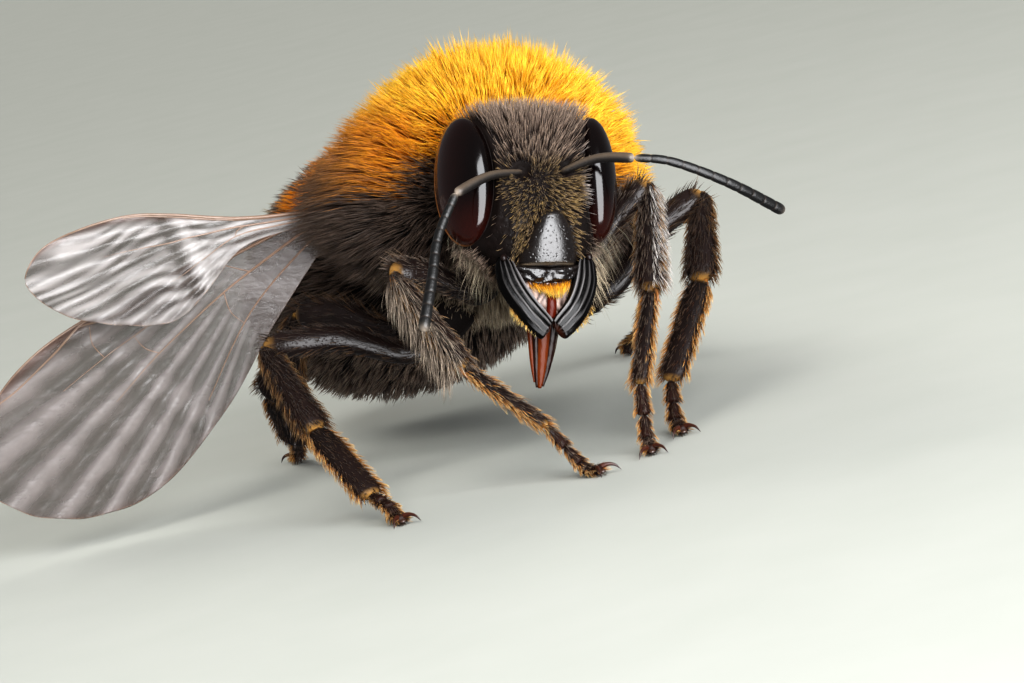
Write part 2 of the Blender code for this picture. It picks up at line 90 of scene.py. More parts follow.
# Head, bare: height over its middle, half-width, reach forward and reach back.
HEAD_LEVELS = (
    (1.60, 0.40, 0.05, 0.32),
    (1.52, 0.98, 0.36, 0.58),
    (1.28, 1.38, 0.66, 0.84),
    (0.80, 1.66, 0.94, 1.00),
    (0.20, 1.82, 1.14, 1.06),
    (-0.50, 1.80, 1.24, 1.00),
    (-1.20, 1.64, 1.28, 0.82),
    (-1.80, 1.42, 1.22, 0.60),
    (-2.15, 1.22, 1.10, 0.42),
    (-2.42, 0.92, 0.90, 0.28),
    (-2.50, 0.50, 0.62, 0.12),
)
CLYPEUS_MIDDLE, CLYPEUS_HALF_HEIGHT = -1.66, 0.80
SOCKET = (0.52, 0.06)

# Feelers and mouthparts, in the head's frame.
ANTENNA_BASE = (0.52, -1.25, 0.06)
ANTENNAE = {
    "right": (
        -1, (-2.60, -1.90, -0.60),
        ((-3.16, -2.02, -1.68), (-3.52, -2.36, -2.85), (-3.93, -2.72, -4.12)),
    ),
    "left": (1, (2.06, -2.20, 0.22), ((3.00, -2.40, 0.08), (4.55, -2.30, -0.45), (6.29, -1.60, -1.07))),
}
MANDIBLE_PATH = (
    (1.12, -0.85, -2.05), (0.98, -1.00, -2.75), (0.66, -1.18, -3.40), (0.26, -1.16, -3.88),
)
PROBOSCIS_PATH = ((0.00, -0.62, -3.15), (-0.04, -0.46, -4.20), (-0.10, -0.20, -5.30))

# Wings, as the solids have them: outline and hub of the pleats in fractions of length and chord,
# and root, tip and leading edge of each. The finer folds are too low for the solids: they start
# at a distance ahead of the hub, and past the crease that crosses the wing they slant to the
# trailing edge.
# The pleats, finer folds and crease are also painted lighter on their crests and darker in their troughs as
# highlight and shade: crest is the colour of that painted highlight, creased sets how strongly the crease is
# painted, and folded also weighs the fine folds against the broad pleats in that painted light.
WING_SHAPES = {
    "forewing": dict(
        chord=4.9,
        outline=(
            (0.00, 0.05), (0.12, -0.05), (0.32, -0.28), (0.50, -0.52), (0.72, -0.68),
            (0.90, -0.54), (1.00, -0.22), (0.95, 0.12), (0.74, 0.32), (0.36, 0.24),
        ),
        hub=(0.15, 0.20), pleat_start=2.5, pleat_step=0.12, pleat_rise=0.020,
        folds_per_pleat=1.6, folds_per_mm=0.0, folds_start=(2.8, 5.5), folded=0.16, slant=0.0,
        crease=0.60, creased=0.40, crest="7C7674",
    ),
    "hindwing": dict(
        chord=2.7,
        outline=(
            (0.00, 0.06), (0.22, -0.04), (0.38, -0.14), (0.50, -0.50), (0.60, -0.72), (0.74, -0.68),
            (0.91, -0.46), (1.00, -0.08), (0.92, 0.24), (0.68, 0.38), (0.38, 0.16), (0.20, 0.10),
        ),
        hub=(0.25, 0.25), pleat_start=1.4, pleat_step=0.14, pleat_rise=0.024,
        folds_per_pleat=0.0, folds_per_mm=3.1, folds_start=(-9.0, -8.0), folded=0.62, slant=0.30,
        crease=0.52, creased=0.90, crest="A4A09E",
    ),
}
WINGS = {
    "forewing_right": ((-3.0, 1.7, 0.45), (-13.8, 4.7, -5.6), (-0.62, -0.05, 0.78)),
    "hindwing_right": ((-3.2, 1.3, 0.10), (-12.4, 1.5, -1.05), (-0.10, -0.25, 0.96)),
    "forewing_left": ((2.6, 1.2, 2.85), (2.6, 14.3, 2.95), (0.92, -0.05, -0.38)),
    "hindwing_left": ((2.8, 1.9, 2.15), (3.3, 11.1, 2.25), (0.92, -0.05, -0.38)),
}

# Legs: hip and bend in the bee's frame; knee, ankle and ball over the floor; where the foot
# stands and the way it points.
LEGS = {
    "front_right": dict(
        hip=(-0.9, -1.9, -2.2), bend=(-1.6, -2.7, -2.7),
        knee=(-4.10, -3.97, 5.85), ankle=(-3.25, -5.40, 3.20), ball=(-1.87, -6.72, 1.42),
        toe=(-1.35, -7.25), point=(0.50, -0.86),
    ),
    "front_left": dict(
        hip=(0.9, -1.9, -2.2), bend=(1.6, -2.6, -2.3),
        knee=(3.10, -3.60, 6.25), ankle=(2.14, -4.80, 3.72), ball=(1.00, -5.82, 1.62),
        toe=(0.66, -6.50), point=(-0.22, -0.97),
    ),
    "middle_left": dict(
        hip=(1.3, -0.6, -2.7), bend=(2.6, -0.9, -2.7),
        knee=(5.00, -1.75, 5.40), ankle=(3.95, -3.30, 3.38), ball=(2.20, -4.42, 1.25),
        toe=(1.92, -5.05), point=(-0.10, -1.0),
    ),
    "middle_right": dict(
        hip=(-1.3, -0.5, -2.7), bend=(-2.5, 0.1, -3.9),
        knee=(-7.05, -0.15, 4.40), ankle=(-6.72, -2.40, 2.25), ball=(-6.20, -4.75, 0.62),
        toe=(-6.05, -5.95), point=(0.12, -1.0),
    ),
    "hind_right": dict(
        hip=(-1.3, 1.3, -2.6), bend=(-2.7, 1.9, -3.1),
        knee=(-5.35, 3.00, 4.60), ankle=(-6.10, 4.90, 2.25), ball=(-5.65, 6.20, 0.80),
        toe=(-5.50, 7.15), point=(0.02, 1.0),
    ),
    "hind_left": dict(
        hip=(1.3, 1.3, -2.6), bend=(2.7, 2.0, -2.7),
        knee=(4.90, 3.60, 4.60), ankle=(5.60, 6.50, 2.50), ball=(5.35, 8.20, 0.80),
        toe=(5.15, 9.30), point=(0.20, 0.98),
    ),
}
FOOT_HEIGHT, FOOT_LENGTH = 0.17, 0.62
# Bare half-width of each length of a leg at its thin and its thick end, and its flatness.
LEG_GIRTHS = {
    "front": dict(femur=(0.26, 0.34, 0.9), tibia=(0.24, 0.34, 0.8), basitarsus=(0.19, 0.22, 0.7)),
    "middle": dict(femur=(0.28, 0.36, 0.9), tibia=(0.25, 0.38, 0.75), basitarsus=(0.34, 0.34, 0.6)),
    "hind": dict(femur=(0.30, 0.40, 0.9), tibia=(0.26, 0.62, 0.55), basitarsus=(0.46, 0.44, 0.5)),
}
LEG_LENGTHS = ("femur", "tibia", "basitarsus", "tarsus")
BEADS = (0.0, 0.2, 0.38, 0.56, 1.0)  # where along a foot its four beads start and end
SIDES = (("right", -1), ("left", 1))


def paint(code):
    """Linear red, green and blue of a paint chart's hexadecimal colour."""
    parts = [int(code[i:i + 2], 16) / 255 for i in (0, 2, 4)]
    return np.array([p / 12.92 if p <= 0.04045 else ((p + 0.055) / 1.055) ** 2.4 for p in parts])


def dye(root, middle, tip):
    """Colours of a hair at its root, middle and tip."""
    return np.array([paint(code) for code in (root, middle, tip)])


BLACK = paint("0B0908")
PITCH = paint("1A1210")
HORN_BROWN = paint("5A2A16")
JOINT_GOLD = paint("C8964E")
RIM_BROWN = paint("8A5A34")
FOLD_PINK = paint("DCC0B4")
GOLD = dye("8A4A00", "E89C08", "F6C43C")
RUST = dye("5A2402", "BC5E02", "F09A18")
DARK = dye("0A0706", "281E18", "64544A")
CREAM = dye("40342A", "94806A", "DCCCB0")
FACE = dye("120D0B", "40322A", "A08C7C")
TAWNY = dye("160F08", "4C3A20", "AC9058")
SILVER = paint("A8A4A4")
# The wing's smoky membrane colour, which also stands as painted shade in the troughs of its folds, and the
# browner colour of its edges.
WING_SMOKE_AND_SHADE, WING_BROWN = paint("2C2520"), paint("4A3024")


# ---------------------------------------------------------------------------------------------
# Numbers and shapes


def smoothstep(low, high, x):
    """An even rise from 0 at low to 1 at high."""
    t = np.clip((np.asarray(x, float) - low) / (high - low), 0, 1)
    return t * t * (3 - 2 * t)


def bell(x, width):
    """1 in the middle, falling away evenly on both sides."""
    return np.exp(-(np.asarray(x) / width) ** 2)


def curve_through(x, stops, values):
    """Smooth curve through values at rising stops, read at x."""
    stops, values = np.asarray(stops, float), np.asarray(values, float)
    slopes = np.gradient(values, stops, axis=0)
    i = np.clip(np.searchsorted(stops, x) - 1, 0, len(stops) - 2)
    span = stops[i + 1] - stops[i]
    t = np.clip((x - stops[i]) / span, 0, 1)
    if values.ndim > 1:
        t, span = t[:, None], span[:, None]
    return (
        (2 * t ** 3 - 3 * t ** 2 + 1) * values[i] + (t ** 3 - 2 * t ** 2 + t) * span * slopes[i]
        + (3 * t ** 2 - 2 * t ** 3) * values[i + 1] + (t ** 3 - t ** 2) * span * slopes[i + 1]
    )


def ripple(points, size, seed):
    """Gentle unevenness from -1 to 1 over space: a sum of waves in seeded directions."""
    waves = 7
    draw = np.random.default_rng(seed)
    directions = unit(draw.normal(size=(waves, 3)))
    lengths = size * draw.uniform(0.6, 1.6, waves)
    phases = draw.uniform(0, 2 * math.pi, waves)
    turns = points @ (directions / lengths[:, None]).T * 2 * math.pi + phases
    return np.clip(np.sin(turns).sum(axis=1) / math.sqrt(waves), -1, 1)


def sway(points, size, seed):
    """A direction that wanders over space, from three ripples."""
    return np.stack([ripple(points, size, seed + k) for k in range(3)], 1)


def around(count):
    """Even angles of one turn."""
    return np.linspace(0, 2 * math.pi, count, endpoint=False)


def grid(rows, columns):
    """Two tables of all pairs from two rows of numbers."""
    return np.meshgrid(rows, columns, indexing="ij")


def unit(vectors):
    """Vectors brought to a length of 1."""
    return vectors / np.maximum(np.linalg.norm(vectors, axis=-1, keepdims=True), 1e-9)


def carry(points, place):
    """Points moved by a frame."""
    m = np.array(place)
    return np.asarray(points, float) @ m[:3, :3].T + m[:3, 3]


def aim(vectors, place):
    """Directions turned by a frame."""
    return np.asarray(vectors, float) @ np.array(place)[:3, :3].T


def mixed(a, b, share):
    """Between a and b, by a share for each row."""
    share = np.asarray(share, float)[..., None]
    return a * (1 - share) + b * share


def halved(quads, tris):
    """Every face as triangles."""
    return np.concatenate([tris, quads[:, :3], quads[:, [0, 2, 3]]])


class Shape:
    """Points, faces and the colour at each point, gathered from several surfaces."""

    def __init__(self):
        self.points, self.quads, self.tris, self.tones = [], [], [], []
        self.count = 0

    def add(self, points, quads, tris, tone):
        tris = np.asarray(tris, int).reshape(-1, 3)
        quads = np.asarray(quads, int).reshape(-1, 4)
        a, b, c = (points[corner] for corner in halved(quads, tris).T)
        if np.einsum("ij,ij->i", a, np.cross(b, c)).sum() < 0:
            tris, quads = tris[:, ::-1], quads[:, ::-1]
        self.points.append(points)
        self.quads.append(quads + self.count)
        self.tris.append(tris + self.count)
        self.tones.append(np.broadcast_to(tone, (len(points), 3)))
        self.count += len(points)
        return self

    def wrap(self, rings, tone, place=LEVEL):
        """Adds a closed surface through rings that are drawn in a frame."""
        points, quads, tris = skin_over(rings)
        return self.add(carry(points, place), quads, tris, tone)

    def arrays(self):
        return [np.concatenate(part) for part in (self.points, self.quads, self.tris, self.tones)]


def skin_over(rings):
    """Points and faces of a closed surface through rings, with a pole in the middle of each end."""
    rows, columns, _ = rings.shape
    points = np.concatenate([rings.reshape(-1, 3), rings[[0, -1]].mean(axis=1)])
    i, j = grid(np.arange(rows - 1) * columns, np.arange(columns))
    beside = (j + 1) % columns
    quads = np.stack([i + j, i + beside, i + columns + beside, i + columns + j], -1).reshape(-1, 4)
    last, poles = (rows - 1) * columns, np.full(columns, rows * columns)
    start_fan = np.stack([beside[0], j[0], poles], -1)
    end_fan = np.stack([last + j[0], last + beside[0], poles + 1], -1)
    return points, quads, np.concatenate([start_fan, end_fan])


def dome(half_sizes, place, rows=24, columns=32):
    """A closed egg of given half-sizes; a half-size may be a pair, for the two ways of its axis."""
    pairs = [size if isinstance(size, tuple) else (size, size) for size in half_sizes]
    tilt, turn = grid(np.linspace(0, math.pi, rows)[1:-1], around(columns))
    ball = np.stack([np.sin(tilt) * np.cos(turn), np.sin(tilt) * np.sin(turn), np.cos(tilt)], -1)
    for axis, (low, high) in enumerate(pairs):
        ball[..., axis] *= np.where(ball[..., axis] > 0, high, low)
    points, quads, tris = skin_over(ball)
    points[-2:] = [[0, 0, pairs[2][1]], [0, 0, -pairs[2][0]]]
    return carry(points, place), quads, tris


def along(path, fractions):
    """Points and directions on a smooth curve through the path's points (Catmull-Rom)."""
    points = np.array([tuple(p) for p in path], float)
    points = np.vstack([2 * points[0] - points[1], points, 2 * points[-1] - points[-2]])
    spans = len(points) - 3
    fractions = np.asarray(fractions, float)
    span = np.minimum((fractions * spans).astype(int), spans - 1)
    t = (fractions * spans - span)[:, None]
    a, b, c, d = (points[span + k] for k in range(4))
    bend, twist = 2 * a - 5 * b + 4 * c - d, 3 * b - a - 3 * c + d
    place = 0.5 * (2 * b + (c - a) * t + bend * t ** 2 + twist * t ** 3)
    slope = 0.5 * ((c - a) + 2 * bend * t + 3 * twist * t ** 2)
    return place, unit(slope)


class Limb:
    """A rounded length along a path. Its broad side is given at the far end and is carried back
    without a twist, and its surface can be read at any fraction along it and angle round it."""

    def __init__(self, path, girths, flatness, broad, rows=40):
        self.fractions = np.linspace(0, 1, rows)
        self.middle, self.axis = along(path, self.fractions)
        self.width = curve_through(self.fractions, *zip(*girths))
        self.flatness = flatness
        sides = []
        side = np.array(tuple(broad), float)
        for direction in self.axis[::-1]:
            side = unit(side - direction * side.dot(direction))
            sides.append(side)
        self.side = np.array(sides[::-1])
        self.over = np.cross(self.axis, self.side)

    def at(self, fraction, angle):
        """Point, outward direction and direction along, at each fraction and angle."""
        step = np.clip(fraction, 0, 1) * (len(self.fractions) - 1)
        i = np.minimum(step.astype(int), len(self.fractions) - 2)
        t = (step - i)[:, None]
        middle, axis, side, over = (
            v[i] * (1 - t) + v[i + 1] * t for v in (self.middle, self.axis, self.side, self.over)
        )
        width = self.width[i, None] * (1 - t) + self.width[i + 1, None] * t
        c, s = np.cos(angle)[:, None], np.sin(angle)[:, None]
        point = middle + (side * c + over * s * self.flatness) * width
        return point, unit(side * c * self.flatness + over * s), unit(axis)

    def rings(self, columns=20):
        f, a = grid(self.fractions, around(columns))
        return self.at(f.ravel(), a.ravel())[0].reshape(*f.shape, 3)

    def shares(self, columns):
        """Fraction along it of each point of its skin, poles and all."""
        return np.concatenate([np.repeat(self.fractions, columns), [0, 1]])


# ---------------------------------------------------------------------------------------------
# Objects


def add_object(name, data):
    """A new object in the scene."""
    made = bpy.data.objects.new(name, data)
    bpy.context.scene.collection.objects.link(made)
    return made


def raw_mesh(name, points, quads, tris):
    """A smooth-shaded mesh from arrays of points and faces."""
    mesh = bpy.data.meshes.new(name)
    corners = np.concatenate([quads.ravel(), tris.ravel()])
    sizes = np.concatenate([np.full(len(quads), 4), np.full(len(tris), 3)])
    starts = np.cumsum(sizes) - sizes
    mesh.vertices.add(len(points))
    mesh.vertices.foreach_set("co", points.astype(np.float32).ravel())
    mesh.loops.add(len(corners))
    mesh.loops.foreach_set("vertex_index", corners.astype(np.int32))
    mesh.polygons.add(len(sizes))
    mesh.polygons.foreach_set("loop_start", starts.astype(np.int32))
    mesh.polygons.foreach_set("use_smooth", np.ones(len(sizes), bool))
    mesh.update(calc_edges=True)
    return mesh


def set_tone(mesh, tones, gloss=1.0):
    """Keeps a colour and a share of gloss at each point of a mesh, for its finish to read."""
    shade = mesh.attributes.new("tone", "FLOAT_COLOR", "POINT")
    shine = np.broadcast_to(gloss, len(tones))[:, None]
    shade.data.foreach_set("color", np.hstack([tones, shine]).astype(np.float32).ravel())


def show(mesh, name, material, replaced=()):
    """A finished piece from a mesh in millimetres: in its place, in metres, riding on the bee."""
    mesh.transform(Matrix.Translation(SHIFT) @ Matrix.Scale(MM, 4))
    mesh.materials.clear()
    mesh.materials.append(material)
    piece = add_object(name, mesh)
    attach(piece, "root")
    if replaced:
        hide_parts(*replaced)


def show_shape(shape, name, material, replaced=(), gloss=1.0):
    """A finished piece from a shape."""
    points, quads, tris, tones = shape.arrays()
    mesh = raw_mesh(name, points, quads, tris)
    set_tone(mesh, tones, gloss)
    show(mesh, name, material, replaced)


def evaluated_mesh(draft):
    """The mesh of a draft object with its modifiers applied; the draft is removed."""
    bpy.context.view_layer.update()
    graph = bpy.context.evaluated_depsgraph_get()
    mesh = bpy.data.meshes.new_from_object(draft.evaluated_get(graph), depsgraph=graph)
    bpy.data.objects.remove(draft)
    return mesh


def numbers(rows, name, kind=np.int32):
    """One number from each row of a mesh's data."""
    values = np.empty(len(rows), kind)
    rows.foreach_get(name, values)
    return values


def mesh_points(mesh, name="co"):
    """The places of a mesh's points, or the normals at them."""
    values = np.empty(len(mesh.vertices) * 3, np.float32)
    mesh.vertices.foreach_get(name, values)
    return values.reshape(-1, 3).astype(float)


# ---------------------------------------------------------------------------------------------
# Finishes


class Graph:
    """A node tree that is written in code: one method adds any node to it."""

    def __init__(self, tree):
        self.tree = tree

    def node(self, kind, settings=None, sockets=None, output=0):
        """Adds a node: its settings first, then a value or a link for each socket named."""
        made = self.tree.nodes.new(kind)
        for key, value in (settings or {}).items():
            setattr(made, key, value)
        for key, value in (sockets or {}).items():
            self.feed(made.inputs[key], value)
        return Value(self, made.outputs[output])

    def maths(self, operation, *values):
        return self.node("ShaderNodeMath", {"operation": operation}, dict(enumerate(values)))

    def feed(self, socket, value):
        if isinstance(value, Value):
            self.tree.links.new(value.socket, socket)
        elif socket.type == "RGBA":
            socket.default_value = (*value[:3], 1.0)
        else:
            socket.default_value = value


class Value:
    """A socket that numbers and other sockets can be added to, multiplied by and so on."""

    def __init__(self, graph, socket):
        self.graph, self.socket = graph, socket

    def maths(self, operation, first, second):
        return self.graph.maths(operation, first, second)

    def __add__(self, other):
        return self.maths("ADD", self, other)

    def __sub__(self, other):
        return self.maths("SUBTRACT", self, other)

    def __rsub__(self, other):
        return self.maths("SUBTRACT", other, self)

    def __mul__(self, other):
        return self.maths("MULTIPLY", self, other)

    def __pow__(self, other):
        return self.maths("POWER", self, other)

    __radd__ = __add__
    __rmul__ = __mul__


class Finish(Graph):
    """One material: a Principled shader, with a second one over it where it is polished."""

    def __init__(self, name):
        self.material = bpy.data.materials.new(name)
        self.material.use_nodes = True
        super().__init__(self.material.node_tree)
        self.place = self.node("ShaderNodeTexCoord", output="Object")

    def surface(self, **sockets):
        """Sets the shader's sockets; a name's underscores stand for spaces."""
        shader = self.tree.nodes["Principled BSDF"]
        for name, value in sockets.items():
            self.feed(shader.inputs[name.replace("_", " ")], value)
        return self.material

    def over(self, share, **sockets):
        """Lays a second Principled shader over the first, by a share that may vary."""
        first = Value(self, self.tree.nodes["Principled BSDF"].outputs[0])
        named = {name.replace("_", " "): value for name, value in sockets.items()}
        second = self.node("ShaderNodeBsdfPrincipled", None, named)
        both = self.node("ShaderNodeMixShader", None, {0: share, 1: first, 2: second})
        self.feed(self.tree.nodes["Material Output"].inputs["Surface"], both)
        return self.material

    def tone(self):
        """The colour kept at the points of the mesh."""
        return self.node("ShaderNodeAttribute", {"attribute_name": "tone"})

    def gloss(self):
        """The share kept beside that colour: polish, or how dense a wing is."""
        return self.node("ShaderNodeAttribute", {"attribute_name": "tone"}, output="Alpha")

    def noise(self, size, detail=3.0, roughness=0.55, stretch=(1, 1, 1)):
        """Uneven value from 0 to 1, with patches of a size in millimetres."""
        scaled = self.node("ShaderNodeMapping", None, {"Vector": self.place, "Scale": stretch})
        sockets = {"Vector": scaled, "Scale": 1 / (size * MM), "Detail": detail, "Roughness": roughness}
        return self.node("ShaderNodeTexNoise", None, sockets)

    def cells(self, size):
        """Distance from the middle of the nearest of many small cells."""
        return self.node("ShaderNodeTexVoronoi", None, {"Vector": self.place, "Scale": 1 / (size * MM)})

    def spread(self, value, low, high, start=0.0, end=1.0, steps="LINEAR"):
        """A value's range from low to high laid over the range from start to end."""
        sockets = {"Value": value, "From Min": low, "From Max": high, "To Min": start, "To Max": end}
        return self.node("ShaderNodeMapRange", {"interpolation_type": steps}, sockets)

    def mix(self, share, first, second):
        """Between two colours, by a share. Of this node's sockets 6 and 7 take colours and 2 gives one."""
        return self.node("ShaderNodeMix", {"data_type": "RGBA"}, {0: share, 6: first, 7: second}, output=2)

    def bump(self, height, depth, strength=1.0):
        """A normal from a height, whose whole range is a depth in millimetres."""
        sockets = {"Height": height, "Distance": depth * MM, "Strength": strength}
        return self.node("ShaderNodeBump", None, sockets)


def coat_finish(name, roughness, sheen):
    """Hair: its own colours from root to tip, with a soft shine."""
    finish = Finish(name)
    uneven = finish.noise(0.25)
    shade = finish.mix(uneven * 0.3, finish.tone(), (0.02, 0.01, 0.005))
    return finish.surface(
        Base_Color=shade, Roughness=roughness, IOR=1.5, Specular_IOR_Level=0.25,
        Sheen_Weight=sheen, Sheen_Roughness=0.4,
    )


def skin_finish():
    """Black, finely punctured cuticle: matt where it bears hair, polished where it is bare."""
    finish = Finish("cuticle")
    blotches = finish.noise(0.5)
    grain = finish.noise(0.05, detail=4.0)
    pits = finish.cells(0.085)
    tone = finish.mix(blotches * 0.25, finish.tone(), tuple(HORN_BROWN * 0.2))
    height = finish.spread(pits, 0.05, 0.42, steps="SMOOTHSTEP")
    relief = finish.bump(height + 0.4 * grain, 0.008)
    finish.surface(
        Base_Color=tone, Roughness=0.62 + 0.20 * grain, IOR=1.5, Specular_IOR_Level=0.14, Normal=relief,
    )
    return finish.over(
        finish.gloss(), Base_Color=tone, Roughness=0.20 + 0.20 * grain, IOR=1.62, Normal=relief,
    )


def jaw_finish():
    """Polished black horn; the pale ridges in the colour it reads are painted highlights."""
    finish = Finish("jaw_horn")
    scratches = finish.noise(0.08, detail=4.0)
    return finish.surface(
        Base_Color=finish.tone(), Roughness=0.16 + 0.14 * scratches, IOR=1.45, Specular_IOR_Level=0.20,
        Normal=finish.bump(scratches, 0.004),
    )


def horn_finish(name, roughness, grain_size, depth, stain):
    """Hard parts: their own colour, finely grained and stained unevenly with another."""
    finish = Finish(name)
    grain = finish.noise(grain_size, detail=4.0)
    tone = finish.mix(grain * 0.4, finish.tone(), tuple(stain))
    return finish.surface(
        Base_Color=tone, Roughness=roughness + 0.15 * grain, IOR=1.56,
        Normal=finish.bump(grain, depth),
    )


def eye_finish():
    """Compound eye: black, red-brown towards its rim, faceted, under a clear gloss."""
    finish = Finish("compound_eye")
    facets = finish.cells(0.028)
    clouds = finish.noise(0.9)
    tone = finish.mix(clouds * 0.25, finish.tone(), tuple(paint("1A0806")))
    return finish.surface(
        Base_Color=tone, Roughness=0.12 + 0.06 * clouds, IOR=1.5, Specular_IOR_Level=0.34,
        Coat_Weight=0.10, Coat_Roughness=0.05, Normal=finish.bump(facets, 0.002, 0.2),
    )


def amber_finish():
    """Tongue sheath: glossy, lengthwise streaked, orange-brown to black."""
    finish = Finish("tongue_sheath")
    streaks = finish.noise(0.10, stretch=(1, 1, 0.12))
    tone = finish.mix(streaks * 0.4, finish.tone(), tuple(paint("3A1408")))
    return finish.surface(
        Base_Color=tone, Roughness=0.18 + 0.18 * streaks, IOR=1.5, Specular_IOR_Level=0.16,
        Normal=finish.bump(streaks, 0.012),
    )


def membrane_finish():
    """Wing membrane: denser where its points say so, finely creased and dotted with minute hairs."""
    finish = Finish("wing_membrane")
    dots = finish.cells(0.07)
    creases = finish.noise(0.22, detail=5.0, stretch=(0.4, 1, 1))
    speckle = finish.spread(dots, 0.10, 0.24, 1.0, 0.0)
    tone = finish.mix(creases * 0.30, finish.tone(), tuple(paint("8A7E7A")))
    return finish.surface(
        Base_Color=tone, Roughness=0.20 + 0.2 * creases, IOR=1.5,
        Alpha=0.12 + 0.72 * finish.gloss() + 0.14 * creases + 0.08 * speckle,
        Normal=finish.bump(creases + 0.1 * speckle, 0.04),
    )


def floor_finish():
    """Plain, pale and matt, with the faintest mottling."""
    finish = Finish("pale_floor")
    mottle = finish.noise(4.0)
    tone = finish.mix(mottle, tuple(paint("A9ACA5")), tuple(paint("B1B3AD")))
    return finish.surface(Base_Color=tone, Roughness=0.75)


# ---------------------------------------------------------------------------------------------
# Geometry node trees


class NodeTree(Graph):
    """A geometry node tree with named inputs, applied to a drawn mesh."""

    def __init__(self, name, **inputs):
        super().__init__(bpy.data.node_groups.new(name, "GeometryNodeTree"))
        self.tree.interface.new_socket("Geometry", in_out="INPUT", socket_type="NodeSocketGeometry")
        for label, (kind, value) in inputs.items():
            made = self.tree.interface.new_socket(label, in_out="INPUT", socket_type="NodeSocket" + kind)
            made.default_value = value
        self.tree.interface.new_socket("Geometry", in_out="OUTPUT", socket_type="NodeSocketGeometry")
        self.entry = self.tree.nodes.new("NodeGroupInput")

    def given(self, label):
        return Value(self, self.entry.outputs[label])

    def close(self, geometry, material):
        """Ends the tree: instances made real, and the finish set."""
        real = self.node("GeometryNodeRealizeInstances", None, {"Geometry": geometry})
        done = self.node("GeometryNodeSetMaterial", None, {"Geometry": real, "Material": material})
        last = self.tree.nodes.new("NodeGroupOutput")
        self.tree.links.new(done.socket, last.inputs["Geometry"])
        return self

    def apply(self, drawn, **values):
        """The plain mesh that the tree makes of a drawn mesh, with its inputs set by identifier."""
        draft = add_object("draft", drawn)
        step = draft.modifiers.new("grow", "NODES")
        step.node_group = self.tree
        for item in self.tree.interface.items_tree:
            if item.in_out == "INPUT" and item.name in values:
                step[item.identifier] = values[item.name]
        return evaluated_mesh(draft)


def tube(tree, line, girth, sides, material):
    """Ends a tree with a round, capped tube along a line."""
    ring = tree.node("GeometryNodeCurvePrimitiveCircle", None, {"Resolution": sides, "Radius": 1.0})
    sockets = {"Curve": line, "Profile Curve": ring, "Scale": girth, "Fill Caps": True}
    shell = tree.node("GeometryNodeCurveToMesh", None, sockets)
    return tree.close(tree.node("GeometryNodeSetShadeSmooth", None, {"Geometry": shell}), material)


def tube_tree(material):
    """A round tube along each drawn line, as thick as the line's own girth says."""
    tree = NodeTree("vein_tube", Sides=("Int", 6))
    line = tree.node("GeometryNodeMeshToCurve", None, {"Mesh": tree.given("Geometry")})
    girth = tree.node("GeometryNodeInputNamedAttribute", {"data_type": "FLOAT"}, {"Name": "girth"})
    return tube(tree, line, girth, tree.given("Sides"), material)


def feeler_tree(material):
    """A jointed tube: segments that swell between joints, ending in a rounded tip."""
    tree = NodeTree(
        "jointed_feeler", Segments=("Int", 10), Radius=("Float", 0.155), Waist=("Float", 0.16),
        Taper=("Float", 0.12), Steps=("Int", 160), Sides=("Int", 18),
    )
    line = tree.node("GeometryNodeMeshToCurve", None, {"Mesh": tree.given("Geometry")})
    even = tree.node("GeometryNodeResampleCurve", None, {"Curve": line, "Count": tree.given("Steps")})
    reach = tree.node("GeometryNodeSplineParameter")
    part = tree.maths("FRACT", reach * tree.given("Segments"))
    pinch = tree.maths("ABSOLUTE", part * 2.0 - 1.0) ** 6.0
    ends = tree.maths("ABSOLUTE", reach * 2.0 - 1.0) ** 40.0
    girth = (1.0 - pinch * tree.given("Waist")) * (1.0 - reach * tree.given("Taper"))
    full = girth * (1.0 - ends * 0.75) * tree.given("Radius")
    marked = tree.node(
        "GeometryNodeStoreNamedAttribute", {"data_type": "FLOAT", "domain": "POINT"},
        {"Geometry": even, "Name": "joint", "Value": pinch ** 3.0},
    )
    return tube(tree, marked, full, tree.given("Sides"), material)


def bristle_tree(material):
    """Stiff bristles scattered over a surface, leaning the way that the surface's own arrows say."""
    tree = NodeTree(
        "bristles", Density=("Float", 20.0), Length=("Float", 0.3), Radius=("Float", 0.012), Seed=("Int", 1),
    )
    spots = tree.node("GeometryNodeDistributePointsOnFaces", None, {
        "Mesh": tree.given("Geometry"), "Density": tree.given("Density"), "Seed": tree.given("Seed"),
    })
    lean = tree.node("GeometryNodeInputNamedAttribute", {"data_type": "FLOAT_VECTOR"}, {"Name": "lean"})
    aimed = tree.node("FunctionNodeAlignRotationToVector", {"axis": "Z"}, {"Vector": lean})
    spine = tree.node("GeometryNodeMeshCone", {"fill_type": "TRIANGLE_FAN"}, {
        "Vertices": 4, "Side Segments": 2, "Radius Top": 0.0, "Radius Bottom": tree.given("Radius"),
        "Depth": tree.given("Length"),
    })
    size = tree.node("FunctionNodeRandomValue", {"data_type": "FLOAT"}, {"Min": 0.6, "Max": 1.15, "Seed": 7})
    sockets = {"Points": spots, "Instance": spine, "Rotation": aimed, "Scale": size}
    return tree.close(tree.node("GeometryNodeInstanceOnPoints", None, sockets), material)


def drawn_lines(paths, girths=None):
    """A mesh of edges only: one line for each path, with a girth at each of its points."""
    mesh = bpy.data.meshes.new("lines")
    points, edges = [], []
    for path in paths:
        first = len(points)
        points.extend(tuple(p) for p in path)
        edges.extend((k, k + 1) for k in range(first, len(points) - 1))
    mesh.from_pydata(points, edges, [])
    if girths is not None:
        kept = mesh.attributes.new("girth", "FLOAT", "POINT")
        kept.data.foreach_set("value", np.concatenate(girths).astype(np.float32))
    return mesh


# ---------------------------------------------------------------------------------------------
# Skin


def thorax_reach(points, spans):
    """Distance of points of the bee's frame from the thorax's middle: 1 is on an egg of those spans."""
    half_width, top, bottom, front, back = spans
    y, z = points[:, 1], points[:, 2]
    sizes = [np.full(len(points), half_width), np.where(y > 0, back, front), np.where(z > 0, top, bottom)]
    return np.linalg.norm(points / np.stack(sizes, 1), axis=1)


